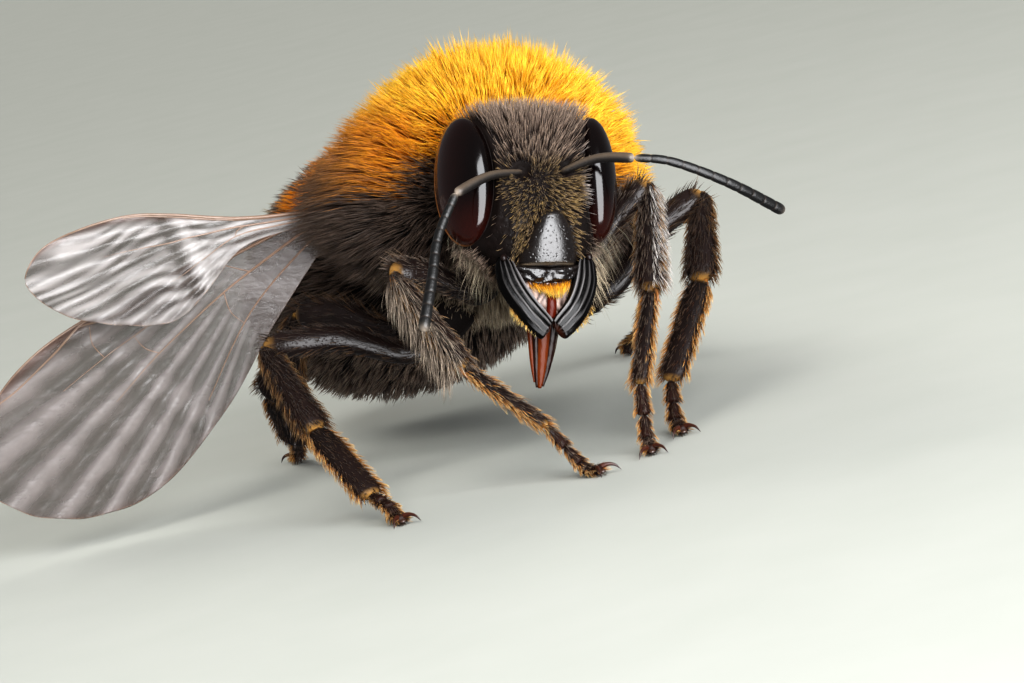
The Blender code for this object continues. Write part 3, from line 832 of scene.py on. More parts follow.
def abdomen_section(y, inset):
    """Middle, half-width and half-height of the abdomen's section, inside the coat by an inset."""
    front_reach = ABDOMEN_WIDEST - ABDOMEN_START + 0.1 - 0.4 * inset
    back_reach = ABDOMEN_END - ABDOMEN_WIDEST + 0.1 - inset
    reach = np.where(y < ABDOMEN_WIDEST, front_reach, back_reach)
    share = np.clip(np.abs(y - ABDOMEN_WIDEST) / reach, 0, 1)
    fullness = (1 - share ** 2.4) ** 0.55
    behind = y - ABDOMEN_START
    middle = np.stack([-ABDOMEN_SWING * behind, y, -ABDOMEN_DROP - ABDOMEN_DROOP * behind ** 2], axis=-1)
    return middle, (ABDOMEN_HALF_WIDTH - inset) * fullness, (ABDOMEN_HALF_HEIGHT - inset) * fullness


def abdomen_ring(y):
    """On which ring of the abdomen, and how far along it, places along the body are."""
    return (y - ABDOMEN_START) / (ABDOMEN_END - ABDOMEN_START) * ABDOMEN_RINGS


def abdomen_blank():
    """Rings of the bare abdomen, in the bee's frame."""
    turn = around(64)
    quarter = math.pi / 2
    tail = ABDOMEN_END - ABDOMEN_COAT_DEPTH + 0.05
    fore = ABDOMEN_WIDEST - (ABDOMEN_WIDEST - ABDOMEN_START) * np.cos(np.linspace(0, quarter, 24)[1:])
    aft = ABDOMEN_WIDEST + (tail - ABDOMEN_WIDEST) * np.sin(np.linspace(0, quarter, 32)[1:])
    middle, wide, high = abdomen_section(np.concatenate([fore, aft]), ABDOMEN_COAT_DEPTH)
    across = np.maximum(wide, 0.05)[:, None] * np.cos(turn)
    upward = np.maximum(high, 0.05)[:, None] * np.sin(turn)
    return middle[:, None, :] + np.stack([across, 0 * across, upward], -1)


def leg_paths(name):
    """The paths of a leg's four lengths over the floor, the broad side of its flat ones, and ahead."""
    joints = LEGS[name]
    hip, bend = STANCE @ Vector(joints["hip"]), STANCE @ Vector(joints["bend"])
    knee, ankle, ball = (Vector(joints[k]) for k in ("knee", "ankle", "ball"))
    bow = UP * 0.07 * (knee - bend).length
    broad = (knee - bend).cross(ankle - knee).normalized().cross(ankle - knee).normalized()
    forward = Vector((*joints["point"], 0)).normalized()
    heel = Vector((*joints["toe"], FOOT_HEIGHT))
    toe = heel + forward * FOOT_LENGTH
    paths = {
        "femur": (hip, bend, (bend + knee) / 2 + bow, knee),
        "tibia": (knee, (knee + ankle) / 2 + (knee - ball).normalized() * 0.08, ankle),
        "basitarsus": (ankle, (ankle + ball) / 2, ball),
        "tarsus": (ball, heel - forward * 0.12 + UP * 0.25, heel + forward * 0.2, toe),
    }
    return paths, broad, forward


def leg_limbs(name):
    """The bare lengths of a leg: femur, tibia, basitarsus and the four beads of the foot."""
    paths, broad, forward = leg_paths(name)
    limbs = {}
    for part, (thin, thick, flatness) in LEG_GIRTHS[name.split("_")[0]].items():
        middling = 0.5 * (thin + thick)
        girths = (
            (0, 0.45 * thin), (0.05, 0.85 * thin), (0.16, thin), (0.45, middling), (0.78, thick),
            (0.93, 0.96 * thick), (0.98, 0.7 * thick), (1, 0.35 * thick),
        )
        limbs[part] = Limb(paths[part], girths, flatness, broad)
    steps = 60
    foot = along(paths["tarsus"], np.linspace(0, 1, steps))[0]
    for i, (start, end) in enumerate(zip(BEADS, BEADS[1:])):
        path = foot[int(start * (steps - 1)):int(end * (steps - 1)) + 1]
        wide = 0.165 if i < 3 else 0.14
        girths = ((0, 0.05), (0.06, 0.085), (0.5, 0.8 * wide), (0.85, wide), (0.96, 0.85 * wide), (1, 0.05))
        limbs[f"bead_{i}"] = Limb(path, girths, 0.85, UP.cross(forward), rows=22)
    return limbs


def trunk_blank():
    """The closed forms of thorax, abdomen, waist, neck and hips, one through another."""
    half_width, top, bottom, front, back = THORAX_SKIN
    blank = Shape()
    blank.add(*dome((half_width, (front, back), (bottom, top)), STANCE, 48, 64), BLACK)
    blank.wrap(abdomen_blank(), BLACK, STANCE)
    path = ((0, 2.0, -0.5), (-0.1, 3.2, -0.6), (-0.3, 4.6, -0.6))
    blank.wrap(Limb(path, ((0, 0.9), (0.5, 0.95), (1, 1.2)), 0.9, (1, 0, 0)).rings(), BLACK, STANCE)
    path = (STANCE @ Vector((0, -1.6, -0.4)), HEAD @ Vector((0, 0.9, -0.1)))
    blank.wrap(Limb(path, ((0, 1.2), (0.5, 0.8), (1, 0.7)), 1, (1, 0, 0)).rings(), BLACK)
    for name in LEGS:
        path = leg_paths(name)[0]["femur"][:2]
        blank.wrap(Limb(path, ((0, 0.62), (0.4, 0.66), (0.85, 0.5), (1, 0.3)), 0.95, UP).rings(), BLACK)
    return blank


def trunk_arrays():
    """The trunk as one closed surface: points, quads, tris and normals."""
    points, quads, tris, _ = trunk_blank().arrays()
    draft = add_object("draft", raw_mesh("trunk", points, quads, tris))
    join = draft.modifiers.new("one surface", "REMESH")
    join.mode = "VOXEL"
    join.voxel_size = 0.11
    ease = draft.modifiers.new("ease", "SMOOTH")
    ease.factor = 0.5
    ease.iterations = 8
    mesh = evaluated_mesh(draft)
    points, normals = mesh_points(mesh), mesh_points(mesh, "normal")
    sizes, corners = numbers(mesh.polygons, "loop_total"), numbers(mesh.loops, "vertex_index")
    starts = np.cumsum(sizes) - sizes
    quads, tris = (corners[starts[sizes == sides][:, None] + np.arange(sides)] for sides in (4, 3))
    bpy.data.meshes.remove(mesh)
    # The hind edge of each ring of the abdomen stands over the next ring.
    own_y = carry(points, STANCE.inverted())[:, 1]
    behind = smoothstep(ABDOMEN_START + 0.4, ABDOMEN_START + 1.0, own_y)
    step = 0.09 * (abdomen_ring(own_y) % 1.0) ** 3 * behind
    return points + normals * step[:, None], quads, tris, normals


def trunk_tone(own):
    """Colour of the bare trunk under its coat, in the bee's frame."""
    gold = smoothstep(-0.05, 0.45, own[:, 2] / 3.2) * smoothstep(1.25, 1.05, thorax_reach(own, THORAX_SKIN))
    return mixed(BLACK, GOLD[0] * 0.6, gold)


def head_surface(rows=140, columns=210):
    """The bare head in its own frame: a smooth lofted case, then the forms of the face."""
    heights, *reaches = (np.array(v) for v in zip(*HEAD_LEVELS))
    fall = 0.5 - 0.5 * np.cos(np.linspace(0, math.pi, rows))
    z = heights[0] + (heights[-1] - heights[0]) * (0.65 * np.linspace(0, 1, rows) + 0.35 * fall)
    wide, ahead, back = (curve_through(-z, -heights, reach)[:, None] for reach in reaches)
    c, s = np.cos(around(columns)), np.sin(around(columns))
    square = 0.88
    x = wide * np.sign(c) * np.abs(c) ** square
    y = np.where(s > 0, back, ahead) * np.sign(s) * np.abs(s) ** square
    rings = np.stack([x, y, z[:, None] + 0 * x], -1)
    beside = (np.roll(rings, -1, axis=1) - np.roll(rings, 1, axis=1)) / 2
    outward = unit(np.cross(np.gradient(rings, axis=0), beside))
    outward *= np.sign((outward * (rings - [0, 0, -0.4])).sum(-1, keepdims=True))
    rings = rings + outward * face_relief(rings)[..., None]
    for sign in (1, -1):
        rings = seat_eye(rings, sign)
    return rings


def clypeus_reach(x, z):
    """How far out of the clypeus's middle a place on the face is: 1 is its edge."""
    down = (CLYPEUS_MIDDLE - z) / CLYPEUS_HALF_HEIGHT
    half_width = 0.66 + 0.20 * np.clip(down, -1, 1)
    return np.abs(x / half_width) ** 2.2 + np.abs(down) ** np.where(down > 0, 5.0, 2.2)


def nose_reach(x, z):
    """How far out of the clypeus's bare, polished part a place on the face is: 1 is its edge."""
    fall = np.clip(-1.0 - z, 0, 1.2)
    return np.abs((x - 0.13 + 0.08 * fall) / (0.36 + 0.40 * fall)) ** 1.8 + 2.0 * smoothstep(-1.10, -0.76, z)


def face_relief(points):
    """Height of the face's own forms over the smooth case of the head."""
    x, y, z = points[..., 0], points[..., 1], points[..., 2]
    reach = clypeus_reach(x, z)
    bulge = np.clip(1 - reach, 0, 1) ** 0.75
    rough = 0.010 * ripple(points.reshape(-1, 3), 0.16, 8).reshape(x.shape) * (1 - bulge)
    nose = np.clip(1 - nose_reach(x, z) ** 2, 0, 1) * smoothstep(-2.36, -2.2, z)
    relief = 0.13 * bulge + 0.20 * nose ** 0.75 - 0.045 * bell(reach - 1.2, 0.25) + rough
    relief -= 0.05 * bell(z + 2.34, 0.035) * smoothstep(1.0, 0.8, np.abs(x))
    relief += 0.07 * bell(x, 0.36) * bell(z + 0.42, 0.40)
    relief -= 0.03 * bell(x, 0.03) * smoothstep(0.2, 0.5, z) * smoothstep(1.3, 0.9, z)
    for side in (-1, 1):
        away = np.hypot(x - side * SOCKET[0], z - SOCKET[1])
        relief += 0.05 * bell(away - 0.27, 0.07) - 0.14 * bell(away, 0.19)
        relief -= 0.05 * bell(np.hypot(x - side * 0.66, (z - 0.62) * 0.7), 0.30)
    return relief * smoothstep(0.05, 0.5, -y)


def eye_frame(sign):
    """The place of an eye's middle, its own X axis pointing out of the head."""
    middle = Vector((sign * EYE_PLACE.x, EYE_PLACE.y, EYE_PLACE.z))
    out = Matrix.Rotation(-sign * EYE_TOE_IN, 4, "Z")
    return Matrix.Translation(middle) @ out @ Matrix.Scale(sign, 4, (1, 0, 0))


def eye_reach(local):
    """How far out of an eye's outline places in its frame are: 1 is on it."""
    return (local[:, 1] / EYE_HALF_SIZES[1]) ** 2 + (local[:, 2] / EYE_HALF_SIZES[2]) ** 2


def seat_eye(points, sign):
    """Brings the side of the head level with the middle of the eye, all round it."""
    place = eye_frame(sign)
    local = carry(points.reshape(-1, 3), place.inverted())
    reach = eye_reach(local)
    near = (1 - smoothstep(0.95, 1.5, reach)) * smoothstep(-1.1, -0.7, local[:, 0])
    seat = EYE_SEAT + EYE_SEAT_SLANT * local[:, 1] - 0.30 * (1 - smoothstep(0.60, 0.85, reach))
    local[:, 0] = local[:, 0] * (1 - near) + seat * near
    return carry(local, place).reshape(points.shape)


def head_tone(points):
    """Colour of the bare head: black, with a pale line along the clypeus's lower edge."""
    x, y, z = points.T
    line = bell(z + 2.29, 0.020) * smoothstep(0.80, 0.60, np.abs(x)) * smoothstep(-0.3, -0.6, y)
    return mixed(BLACK, paint("B09A80"), 0.3 * line)


def eye_rim(sign):
    """The narrow rim that the head makes round an eye, thicker and paler behind it."""
    rows, columns = 96, 8
    turn, section = around(rows), around(columns)[:, None]
    depth, length, height = EYE_HALF_SIZES
    lean = (EYE_SEAT_SLANT / depth) ** 2 + 1 / length ** 2
    offset = -EYE_SEAT * EYE_SEAT_SLANT / depth ** 2 / lean
    size = math.sqrt(1 - (EYE_SEAT / depth) ** 2 + lean * offset ** 2)
    y = offset + size / math.sqrt(lean) * np.cos(turn)
    path = np.stack([EYE_SEAT + EYE_SEAT_SLANT * y, y, height * size * np.sin(turn)], 1)[:, None]
    behind = smoothstep(-0.3, 0.5, np.cos(turn))
    girth = (0.022 + 0.020 * behind)[:, None, None]
    outward, sideways = unit(path * [0, 1, 1]), np.array([1.2, 0, 0])
    rings = path + girth * (np.cos(section) * outward + np.sin(section) * sideways)
    i, j = grid(np.arange(rows), np.arange(columns))
    below, beside = (i + 1) % rows * columns, (j + 1) % columns
    i = i * columns
    quads = np.stack([i + j, i + beside, below + beside, below + j], -1)
    points = carry(rings.reshape(-1, 3), HEAD @ eye_frame(sign))
    return points, quads, [], mixed(BLACK, RIM_BROWN, np.repeat(behind, columns))


def make_skin(material):
    """One skin for head, thorax, abdomen and legs, and what the coat needs to know of it."""
    skin = Shape()
    points, quads, tris, normals = trunk_arrays()
    trunk = dict(points=points, normals=normals, faces=halved(quads, tris))
    skin.add(points, quads, tris, trunk_tone(carry(points, STANCE.inverted())))
    points, quads, tris = skin_over(head_surface())
    head = dict(points=points, faces=halved(quads, tris))
    skin.add(carry(points, HEAD), quads, tris, head_tone(points))
    for sign in (1, -1):
        skin.add(*eye_rim(sign))
    skin.wrap(labrum(), BLACK, HEAD)
    polish = [skin_gloss(skin)]
    legs = {name: leg_limbs(name) for name in LEGS}
    for limbs in legs.values():
        for part, limb in limbs.items():
            columns = 16 if part.startswith("bead") else 20
            share = limb.shares(columns)
            skin.wrap(limb.rings(columns), leg_tone(part, share))
            polish.append(np.full(len(share), 0.40 if part == "femur" else 0.10))
    flesh = ["thorax", "head", *(f"abdomen_{i + 1}" for i in range(ABDOMEN_RINGS))]
    flesh += [f"{leg}_{part}" for leg in LEGS for part in LEG_LENGTHS]
    show_shape(skin, "skin", material, flesh, np.concatenate(polish))
    return trunk, head, legs


def skin_gloss(skin):
    """Polish of the trunk and head: highest on the nose, some on lip and cheeks."""
    x, y, z = carry(skin.arrays()[0], HEAD.inverted()).T
    front = smoothstep(-0.2, -0.5, y) * smoothstep(2.6, 2.3, np.hypot(x, z + 0.6))
    nose = smoothstep(1.15, 0.95, nose_reach(x, z))
    lip = 0.2 * smoothstep(-2.25, -2.35, z)
    cheek = smoothstep(-0.9, -1.3, z) * 0.10
    return front * np.maximum(np.maximum(nose, lip), cheek)


def leg_tone(part, share):
    """Black-brown, with a golden joint at both ends of each length and reddish feet."""
    if part.startswith("bead"):
        return mixed(PITCH * 0.5, HORN_BROWN, 0.02 + 0.10 * share)
    ends = smoothstep(0.965, 0.99, share) + smoothstep(0.03, 0.01, share)
    return mixed(mixed(BLACK, PITCH, share), JOINT_GOLD, 0.6 * np.clip(ends, 0, 1))


def labrum():
    """The upper lip: a short, wide, rounded plate that hangs from the clypeus's edge."""
    fall = np.linspace(0, 1, 44)
    stops = (0, 0.1, 0.5, 0.85, 1)
    half_width = curve_through(fall, stops, (0.55, 0.76, 0.80, 0.66, 0.35))[:, None]
    depth = curve_through(fall, stops, (0.12, 0.20, 0.24, 0.18, 0.06))[:, None]
    turn = around(90)
    x = half_width * np.cos(turn)
    y = (-1.02 + 0.10 * fall)[:, None] + depth * np.sin(turn)
    z = (-2.36 - 0.46 * fall)[:, None] + 0.12 * (x / 0.8) ** 2
    knobs = bell(np.hypot(np.abs(x) - 0.36, z + 2.52), 0.20) - 0.6 * bell(x, 0.12)
    y = y - 0.07 * knobs * smoothstep(-0.2, 0.5, -np.sin(turn))
    shell = np.stack([x, y, z], -1)
    return shell + 0.018 * ripple(shell.reshape(-1, 3), 0.14, 9).reshape(*x.shape, 1) * [0, 1, 0.3]


# ---------------------------------------------------------------------------------------------
# Eyes, feelers, mouthparts and claws


def make_eyes(material):
    """Compound eyes, redder low down and behind, and the three simple eyes between them."""
    for side, sign in SIDES:
        points, quads, tris = dome(EYE_HALF_SIZES, LEVEL, 72, 90)
        low = smoothstep(-0.1, -1.0, points[:, 2] / EYE_HALF_SIZES[2])
        hind = smoothstep(-0.9, 0.5, points[:, 1] / EYE_HALF_SIZES[1])
        tone = mixed(paint("030202"), paint("2C0D08"), np.clip(0.75 * low + 0.45 * hind, 0, 1))
        shape = Shape().add(carry(points, HEAD @ eye_frame(sign)), quads, tris, tone)
        show_shape(shape, f"compound_eye_{side}", material, [f"eye_{side}"])
    small = Shape()
    for place in ((0, -0.62, 1.14), (-0.30, -0.34, 1.33), (0.30, -0.34, 1.33)):
        small.add(*dome((0.12, 0.12, 0.10), HEAD @ Matrix.Translation(place), 16, 20), paint("1A100C"))
    show_shape(small, "simple_eyes", material)


# Segments and sizes of the two lengths of a feeler; a taper under 0 thickens towards the tip.
FEELER_FORMS = {
    "scape": dict(Segments=1, Radius=0.092, Waist=0.20, Taper=-0.55, Steps=60),
    "flagellum": dict(Segments=11, Radius=0.104, Waist=0.12, Taper=-0.45, Steps=200),
}


def make_feelers(material):
    """Jointed feelers, pale at the elbow and the tip, the scape painted lighter on its upper side as if lit
    from above.
    """
    jointed = feeler_tree(material)
    for side, (sign, elbow, whip) in ANTENNAE.items():
        base = Vector((sign * ANTENNA_BASE[0], ANTENNA_BASE[1] + 0.22, ANTENNA_BASE[2]))
        elbow, whip = Vector(elbow), [Vector(p) for p in whip]
        sag = (base + elbow) / 2 + Vector((0, 0, 0.16))
        lines = {
            "scape": along([base, sag, elbow], np.linspace(0, 1, 40))[0],
            "flagellum": along([elbow, *whip], np.linspace(0, 1, 60))[0],
        }
        for name, line in lines.items():
            mesh = jointed.apply(drawn_lines([carry(line, HEAD)]), **FEELER_FORMS[name])
            points = mesh_points(mesh)
            joint = numbers(mesh.attributes["joint"].data, "value", np.float32)
            near_elbow, near_tip = (
                bell(np.linalg.norm(points - np.array(HEAD @ end), axis=1), reach)
                for end, reach in ((elbow, 0.10), (whip[-1], 0.13))
            )
            # Painted light: the scape is lighter where its surface faces up, as if lit from above.
            upper = smoothstep(-0.2, 0.8, mesh_points(mesh, "normal")[:, 2])
            tone = mixed(paint("14100E"), paint("54483C"), upper) if name == "scape" else paint("080706")
            tone = mixed(tone, paint("6A5648"), 0.25 * joint)
            tone = mixed(tone, paint("C0B0A0"), np.clip(0.8 * near_elbow + 0.7 * near_tip, 0, 1))
            set_tone(mesh, tone)
            show(mesh, f"feeler_{side}_{name}", material, [f"antenna_{side}_{name}"])


JAW_BROAD_SIDE = (0.77, 0, -0.64)
# Lengthwise ridges of a jaw: where round it each stands, its breadth, height and how strongly it takes the
# painted highlight along its crest.
JAW_RIDGES = (
    (0.6, 0.10, 0.010, 0.0), (1.10, 0.04, 0.015, 0.25), (1.55, 0.05, 0.025, 0.45), (2.05, 0.05, 0.030, 0.7),
    (2.55, 0.08, 0.050, 1.0),
)
# Strips of the tongue sheath: how far across and ahead, half-width, flatness, colour and reach.
TONGUE_STRIPS = (
    (0.02, 0.0, 0.18, 0.7, "5C2403", 1.0),
    (-0.24, 0.01, 0.095, 0.9, "140B08", 0.99),
    (0.29, 0.01, 0.130, 0.9, "100C0A", 0.98),
    (-0.39, 0.03, 0.070, 0.8, "5E2606", 0.93),
    (0.45, 0.03, 0.045, 0.8, "2E2410", 0.90),
)


def jaw_limb(sign, girths, flatness, end=(), rows=40):
    """A jaw's bare form on one side of the mouth."""
    path = [(sign * x, y, z) for x, y, z in (*MANDIBLE_PATH, *end)]
    return Limb(path, girths, flatness, np.array(JAW_BROAD_SIDE) * [sign, 1, 1], rows)


def ridged(limb, sign, columns=72):
    """Rings of a jaw with raised ridges along its outer face, and how strongly each point takes the painted
    highlight along the ridges.
    """
    f, a = (table.ravel() for table in grid(limb.fractions, around(columns)))
    points, out, _ = limb.at(f, a)
    turn = (sign * a + 0.12 * np.sin(5 * f)) % (2 * math.pi)
    middle = np.sin(f * math.pi) ** 0.5
    rise = sum(height * bell(turn - place, broad) for place, broad, height, _ in JAW_RIDGES) * middle
    pale = sum(share * bell(turn - place, broad) for place, broad, _, share in JAW_RIDGES) * middle
    return (points + out * rise[:, None]).reshape(len(limb.fractions), columns, 3), pale


def make_jaws(material):
    """Curved, ridged jaws with a hinge each, painted silver-white along the ridges as highlights."""
    girths = ((0, 0.12), (0.05, 0.22), (0.16, 0.30), (0.45, 0.33), (0.75, 0.30), (0.93, 0.20), (1, 0.05))
    for side, sign in SIDES:
        jaw = jaw_limb(sign, girths, 0.64, [(0.12, -1.17, -4.00)], rows=70)
        rings, pale = ridged(jaw, sign)
        tip = smoothstep(0.85, 1.0, jaw.shares(rings.shape[1]))
        tone = mixed(BLACK * 0.3, HORN_BROWN * 0.7, 0.5 * tip)
        # Painted highlight: silver laid along the ridges, where light would glint.
        tone = mixed(tone, SILVER, 0.6 * np.clip(np.concatenate([pale, [0, 0]]), 0, 1))
        shape = Shape().wrap(rings, tone, HEAD)
        hinge = HEAD @ Matrix.Translation((sign * 1.14, -1.02, -2.10))
        shape.add(*dome((0.09, 0.08, 0.09), hinge, 14, 18), PITCH)
        show_shape(shape, f"jaw_{side}", material, [f"mandible_{side}"])


def make_tongue(material):
    """Five strips side by side that meet at the tip, and the root that they hang from."""
    tongue = Shape()
    for across, ahead, wide, flat, tone, reach in TONGUE_STRIPS:
        ends = np.array(PROBOSCIS_PATH) + [across, ahead, 0]
        ends[-1] += [-0.72 * across, 0, 0]
        ends[1] += [-0.22 * across, 0, 0]
        girths = [(0, 0.6 * wide), (0.08, wide), (0.5, 0.95 * wide), (0.85, 0.7 * wide), (1, 0.25 * wide)]
        strip = Limb(along(ends, np.linspace(0, reach, 30))[0], girths, flat, (1, 0, 0))
        tongue.wrap(strip.rings(), paint(tone), HEAD)
    path = ((0.06, -1.00, -2.98), (0.04, -1.10, -3.25), (0.02, -1.02, -3.62))
    base = Limb(path, ((0, 0.10), (0.4, 0.12), (1, 0.14)), 0.7, (1, 0, 0))
    tongue.wrap(base.rings(), paint("4C1003"), HEAD)
    show_shape(tongue, "tongue", material, ["proboscis"])


def make_mouth_folds(material):
    """The pale folded membrane between the jaws, under the lip, painted dark in the troughs of its folds as
    shade.
    """
    fall, turn = grid(np.linspace(0, 1, 40), around(64))
    x = curve_through(fall[:, 0], (0, 0.2, 0.6, 1), (0.62, 0.70, 0.48, 0.14))[:, None] * np.cos(turn)
    wander = ripple(np.stack([x, 0 * x, fall], -1).reshape(-1, 3), 0.5, 10).reshape(x.shape)
    folds = 0.05 * np.sin(30 * np.abs(x) - 11 * fall + 2.2 * wander) * (0.6 + 0.4 * wander)
    y = -0.92 + 0.06 * fall + (0.12 + folds) * np.sin(turn)
    height = np.concatenate([folds.ravel(), [0, 0]])
    # Painted shade: the membrane is dark down in the troughs of the folds and pink on their crests.
    tone = mixed(paint("1C0C08"), FOLD_PINK, 0.55 * smoothstep(-0.045, 0.03, height))
    shape = Shape().wrap(np.stack([x, y, -2.72 - 0.95 * fall], -1), tone, HEAD)
    show_shape(shape, "mouth_folds", material)


def make_claws(material):
    """Two hooked claws and a pad between them at the end of every foot, and the ankle spurs."""
    claws = Shape()
    for name in LEGS:
        paths, broad, forward = leg_paths(name)
        tip = Vector(paths["tarsus"][-1])
        for spread in (-38, 38):
            out = Matrix.Rotation(math.radians(spread), 3, "Z") @ forward
            root = tip - forward * 0.16 + UP * 0.01
            steps = ((0, 0), (0.24, 0.07), (0.46, 0.02), (0.60, -0.135))
            path = [root + out * ahead + UP * rise for ahead, rise in steps]
            girths = ((0, 0.05), (0.15, 0.062), (0.5, 0.045), (0.85, 0.022), (1, 0.005))
            hook = Limb(path, girths, 0.8, UP, rows=24)
            claws.wrap(hook.rings(10), mixed(paint("4A2010"), paint("1A0C08"), hook.shares(10)))
        pad = Matrix.Translation(tip + forward * 0.02 - UP * 0.05)
        claws.add(*dome((0.085, 0.085, 0.05), pad, 12, 16), paint("3A2A22"))
        ankle = Vector(paths["tibia"][-1])
        down = (Vector(paths["basitarsus"][-1]) - ankle).normalized()
        sides = (-0.16,) if name.startswith("front") else (-0.16, 0.16)
        for side in sides:
            steps = ((0.9, 0), (1.5, 0.22), (1.3, 0.5))
            path = [ankle + broad * side * wide + down * fall for wide, fall in steps]
            spur = Limb(path, ((0, 0.05), (0.5, 0.035), (1, 0.004)), 1.0, UP, rows=14)
            claws.wrap(spur.rings(8), paint("8A5A2A"))
    show_shape(claws, "claws", material)


# Bristles of each length of a leg: how many to the square millimetre, how long, how brown.
LEG_BRISTLES = {
    "femur": (3.0, 0.24, 0.2),
    "tibia": (7.0, 0.26, 0.6),
    "basitarsus": (16.0, 0.22, 0.6),
    "bead": (26.0, 0.15, 0.6),
}


def make_leg_bristles(legs, material):
    """Short stiff bristles along every leg, scattered by geometry nodes."""
    sown = bristle_tree(material)
    f, a = grid(np.linspace(0.08, 0.97, 16), around(14))
    for part, (density, length, brown) in LEG_BRISTLES.items():
        field = Shape()
        leans = []
        for limb in (limb for limbs in legs.values() for key, limb in limbs.items() if key.startswith(part)):
            points, out, axis = limb.at(f.ravel(), a.ravel())
            leans.append(np.concatenate([unit(0.55 * out + 0.85 * axis), axis[:1], axis[-1:]]))
            field.wrap(points.reshape(*f.shape, 3), BLACK)
        points, quads, tris, _ = field.arrays()
        mesh = raw_mesh("field", points, quads, tris)
        kept = mesh.attributes.new("lean", "FLOAT_VECTOR", "POINT")
        kept.data.foreach_set("vector", np.concatenate(leans).astype(np.float32).ravel())
        grown = sown.apply(mesh, Density=density, Length=length, Radius=0.009, Seed=len(part))
        uneven = 0.5 + 0.5 * ripple(mesh_points(grown), 0.4, 5)
        set_tone(grown, mixed(paint("120C0A"), paint("6A4426"), uneven * brown))
        show(grown, f"bristles_{part}", material)


# ---------------------------------------------------------------------------------------------
# Wings


def wing_frame(root, tip, leading):
    """The wing's own frame: X out to the tip, Y to the leading edge, Z through the membrane."""
    root, tip, leading = Vector(root), Vector(tip), Vector(leading)
    out = (tip - root).normalized()
    across = (leading - out * leading.dot(out)).normalized()
    turn = Matrix((out, across, out.cross(across))).transposed().to_4x4()
    return STANCE @ Matrix.Translation(root) @ turn, (tip - root).length


class Wing:
    """A pleated membrane inside an outline: a place on it is read at a fraction of its length
    and a fraction from its trailing to its leading edge."""

    def __init__(self, form, root, tip, leading):
        self.place, self.length = wing_frame(root, tip, leading)
        self.form = form
        drawn = np.array([(*point, 0) for point in form["outline"]])
        closed = np.vstack([drawn[-1], drawn, drawn[:2]])
        ends = 1 / (len(closed) - 1)
        edge = along(closed, np.linspace(ends, 1 - ends, 800))[0]
        tip_at = edge[:, 0].argmax()
        self.trailing, self.leading = edge[:tip_at + 1], edge[tip_at:][::-1]
        self.start, self.end = edge[:, 0].min() + 0.002, edge[tip_at, 0] - 0.0005
        ahead, turn = self.fan(edge[:, 0] * self.length, edge[:, 1] * form["chord"])
        self.turns = turn[ahead > form["pleat_start"]]

    def fan(self, x, y):
        """How far ahead of the hub of the pleats places in the wing's plane lie, and on which pleat."""
        along_wing, across = self.form["hub"]
        ahead = x - along_wing * self.length
        return ahead, (y - across * self.form["chord"]) / np.maximum(ahead, 0.1) / self.form["pleat_step"]

    def at(self, u, v, lift=0.0):
        """Points over the floor at arrays of fractions along and across, and how bright each is painted as
        the folds would catch the light.
        """
        x = self.start + (self.end - self.start) * u
        low = np.interp(x, self.trailing[:, 0], self.trailing[:, 1])
        high = np.interp(x, self.leading[:, 0], self.leading[:, 1])
        x, y = x * self.length, (low + (high - low) * v) * self.form["chord"]
        height, bright = self.pleats(x, y)
        points = np.stack([x, y, height + lift], -1)
        return carry(points.reshape(-1, 3), self.place).reshape(points.shape), bright

    def pleats(self, x, y):
        """Height of the pleats, with finer wrinkles over them, and how bright the folds are painted: lighter
        on their crests and darker in their troughs, as light would fall.
        """
        form = self.form
        ahead, turn = self.fan(x, y)
        turn = np.clip(turn, self.turns.min(), self.turns.max())
        wave = np.cos(2 * math.pi * turn)
        rise = form["pleat_rise"] * np.maximum(ahead - form["pleat_start"], 0)
        flat = np.stack([x, y, 0 * x], -1).reshape(-1, 3)
        wander = ripple(flat * [0.5, 0.8, 1], 1.0, 41).reshape(x.shape)
        gusts = ripple(flat * [0.5, 1.2, 1], 0.9, 42).reshape(x.shape)
        past = np.maximum(x - form["crease"] * self.length, 0)
        folds = form["folds_per_pleat"] * turn + form["folds_per_mm"] * (y + form["slant"] * past)
        fine = np.cos(2 * math.pi * folds + 3.2 * wander) * (0.6 + 0.4 * gusts) * form["folded"]
        fine = fine * smoothstep(*form["folds_start"], ahead)
        where = x / self.length - form["crease"] - 0.03 * y
        crease = bell(where, 0.016) - bell(where - 0.05, 0.018)
        height = rise * wave + smoothstep(0.3, 1.5, x) * (0.022 * fine + 0.030 * crease)
        broad = (0.85 - form["folded"]) * wave * smoothstep(1.8, 4.4, ahead)
        return height, broad + fine + form["creased"] * crease


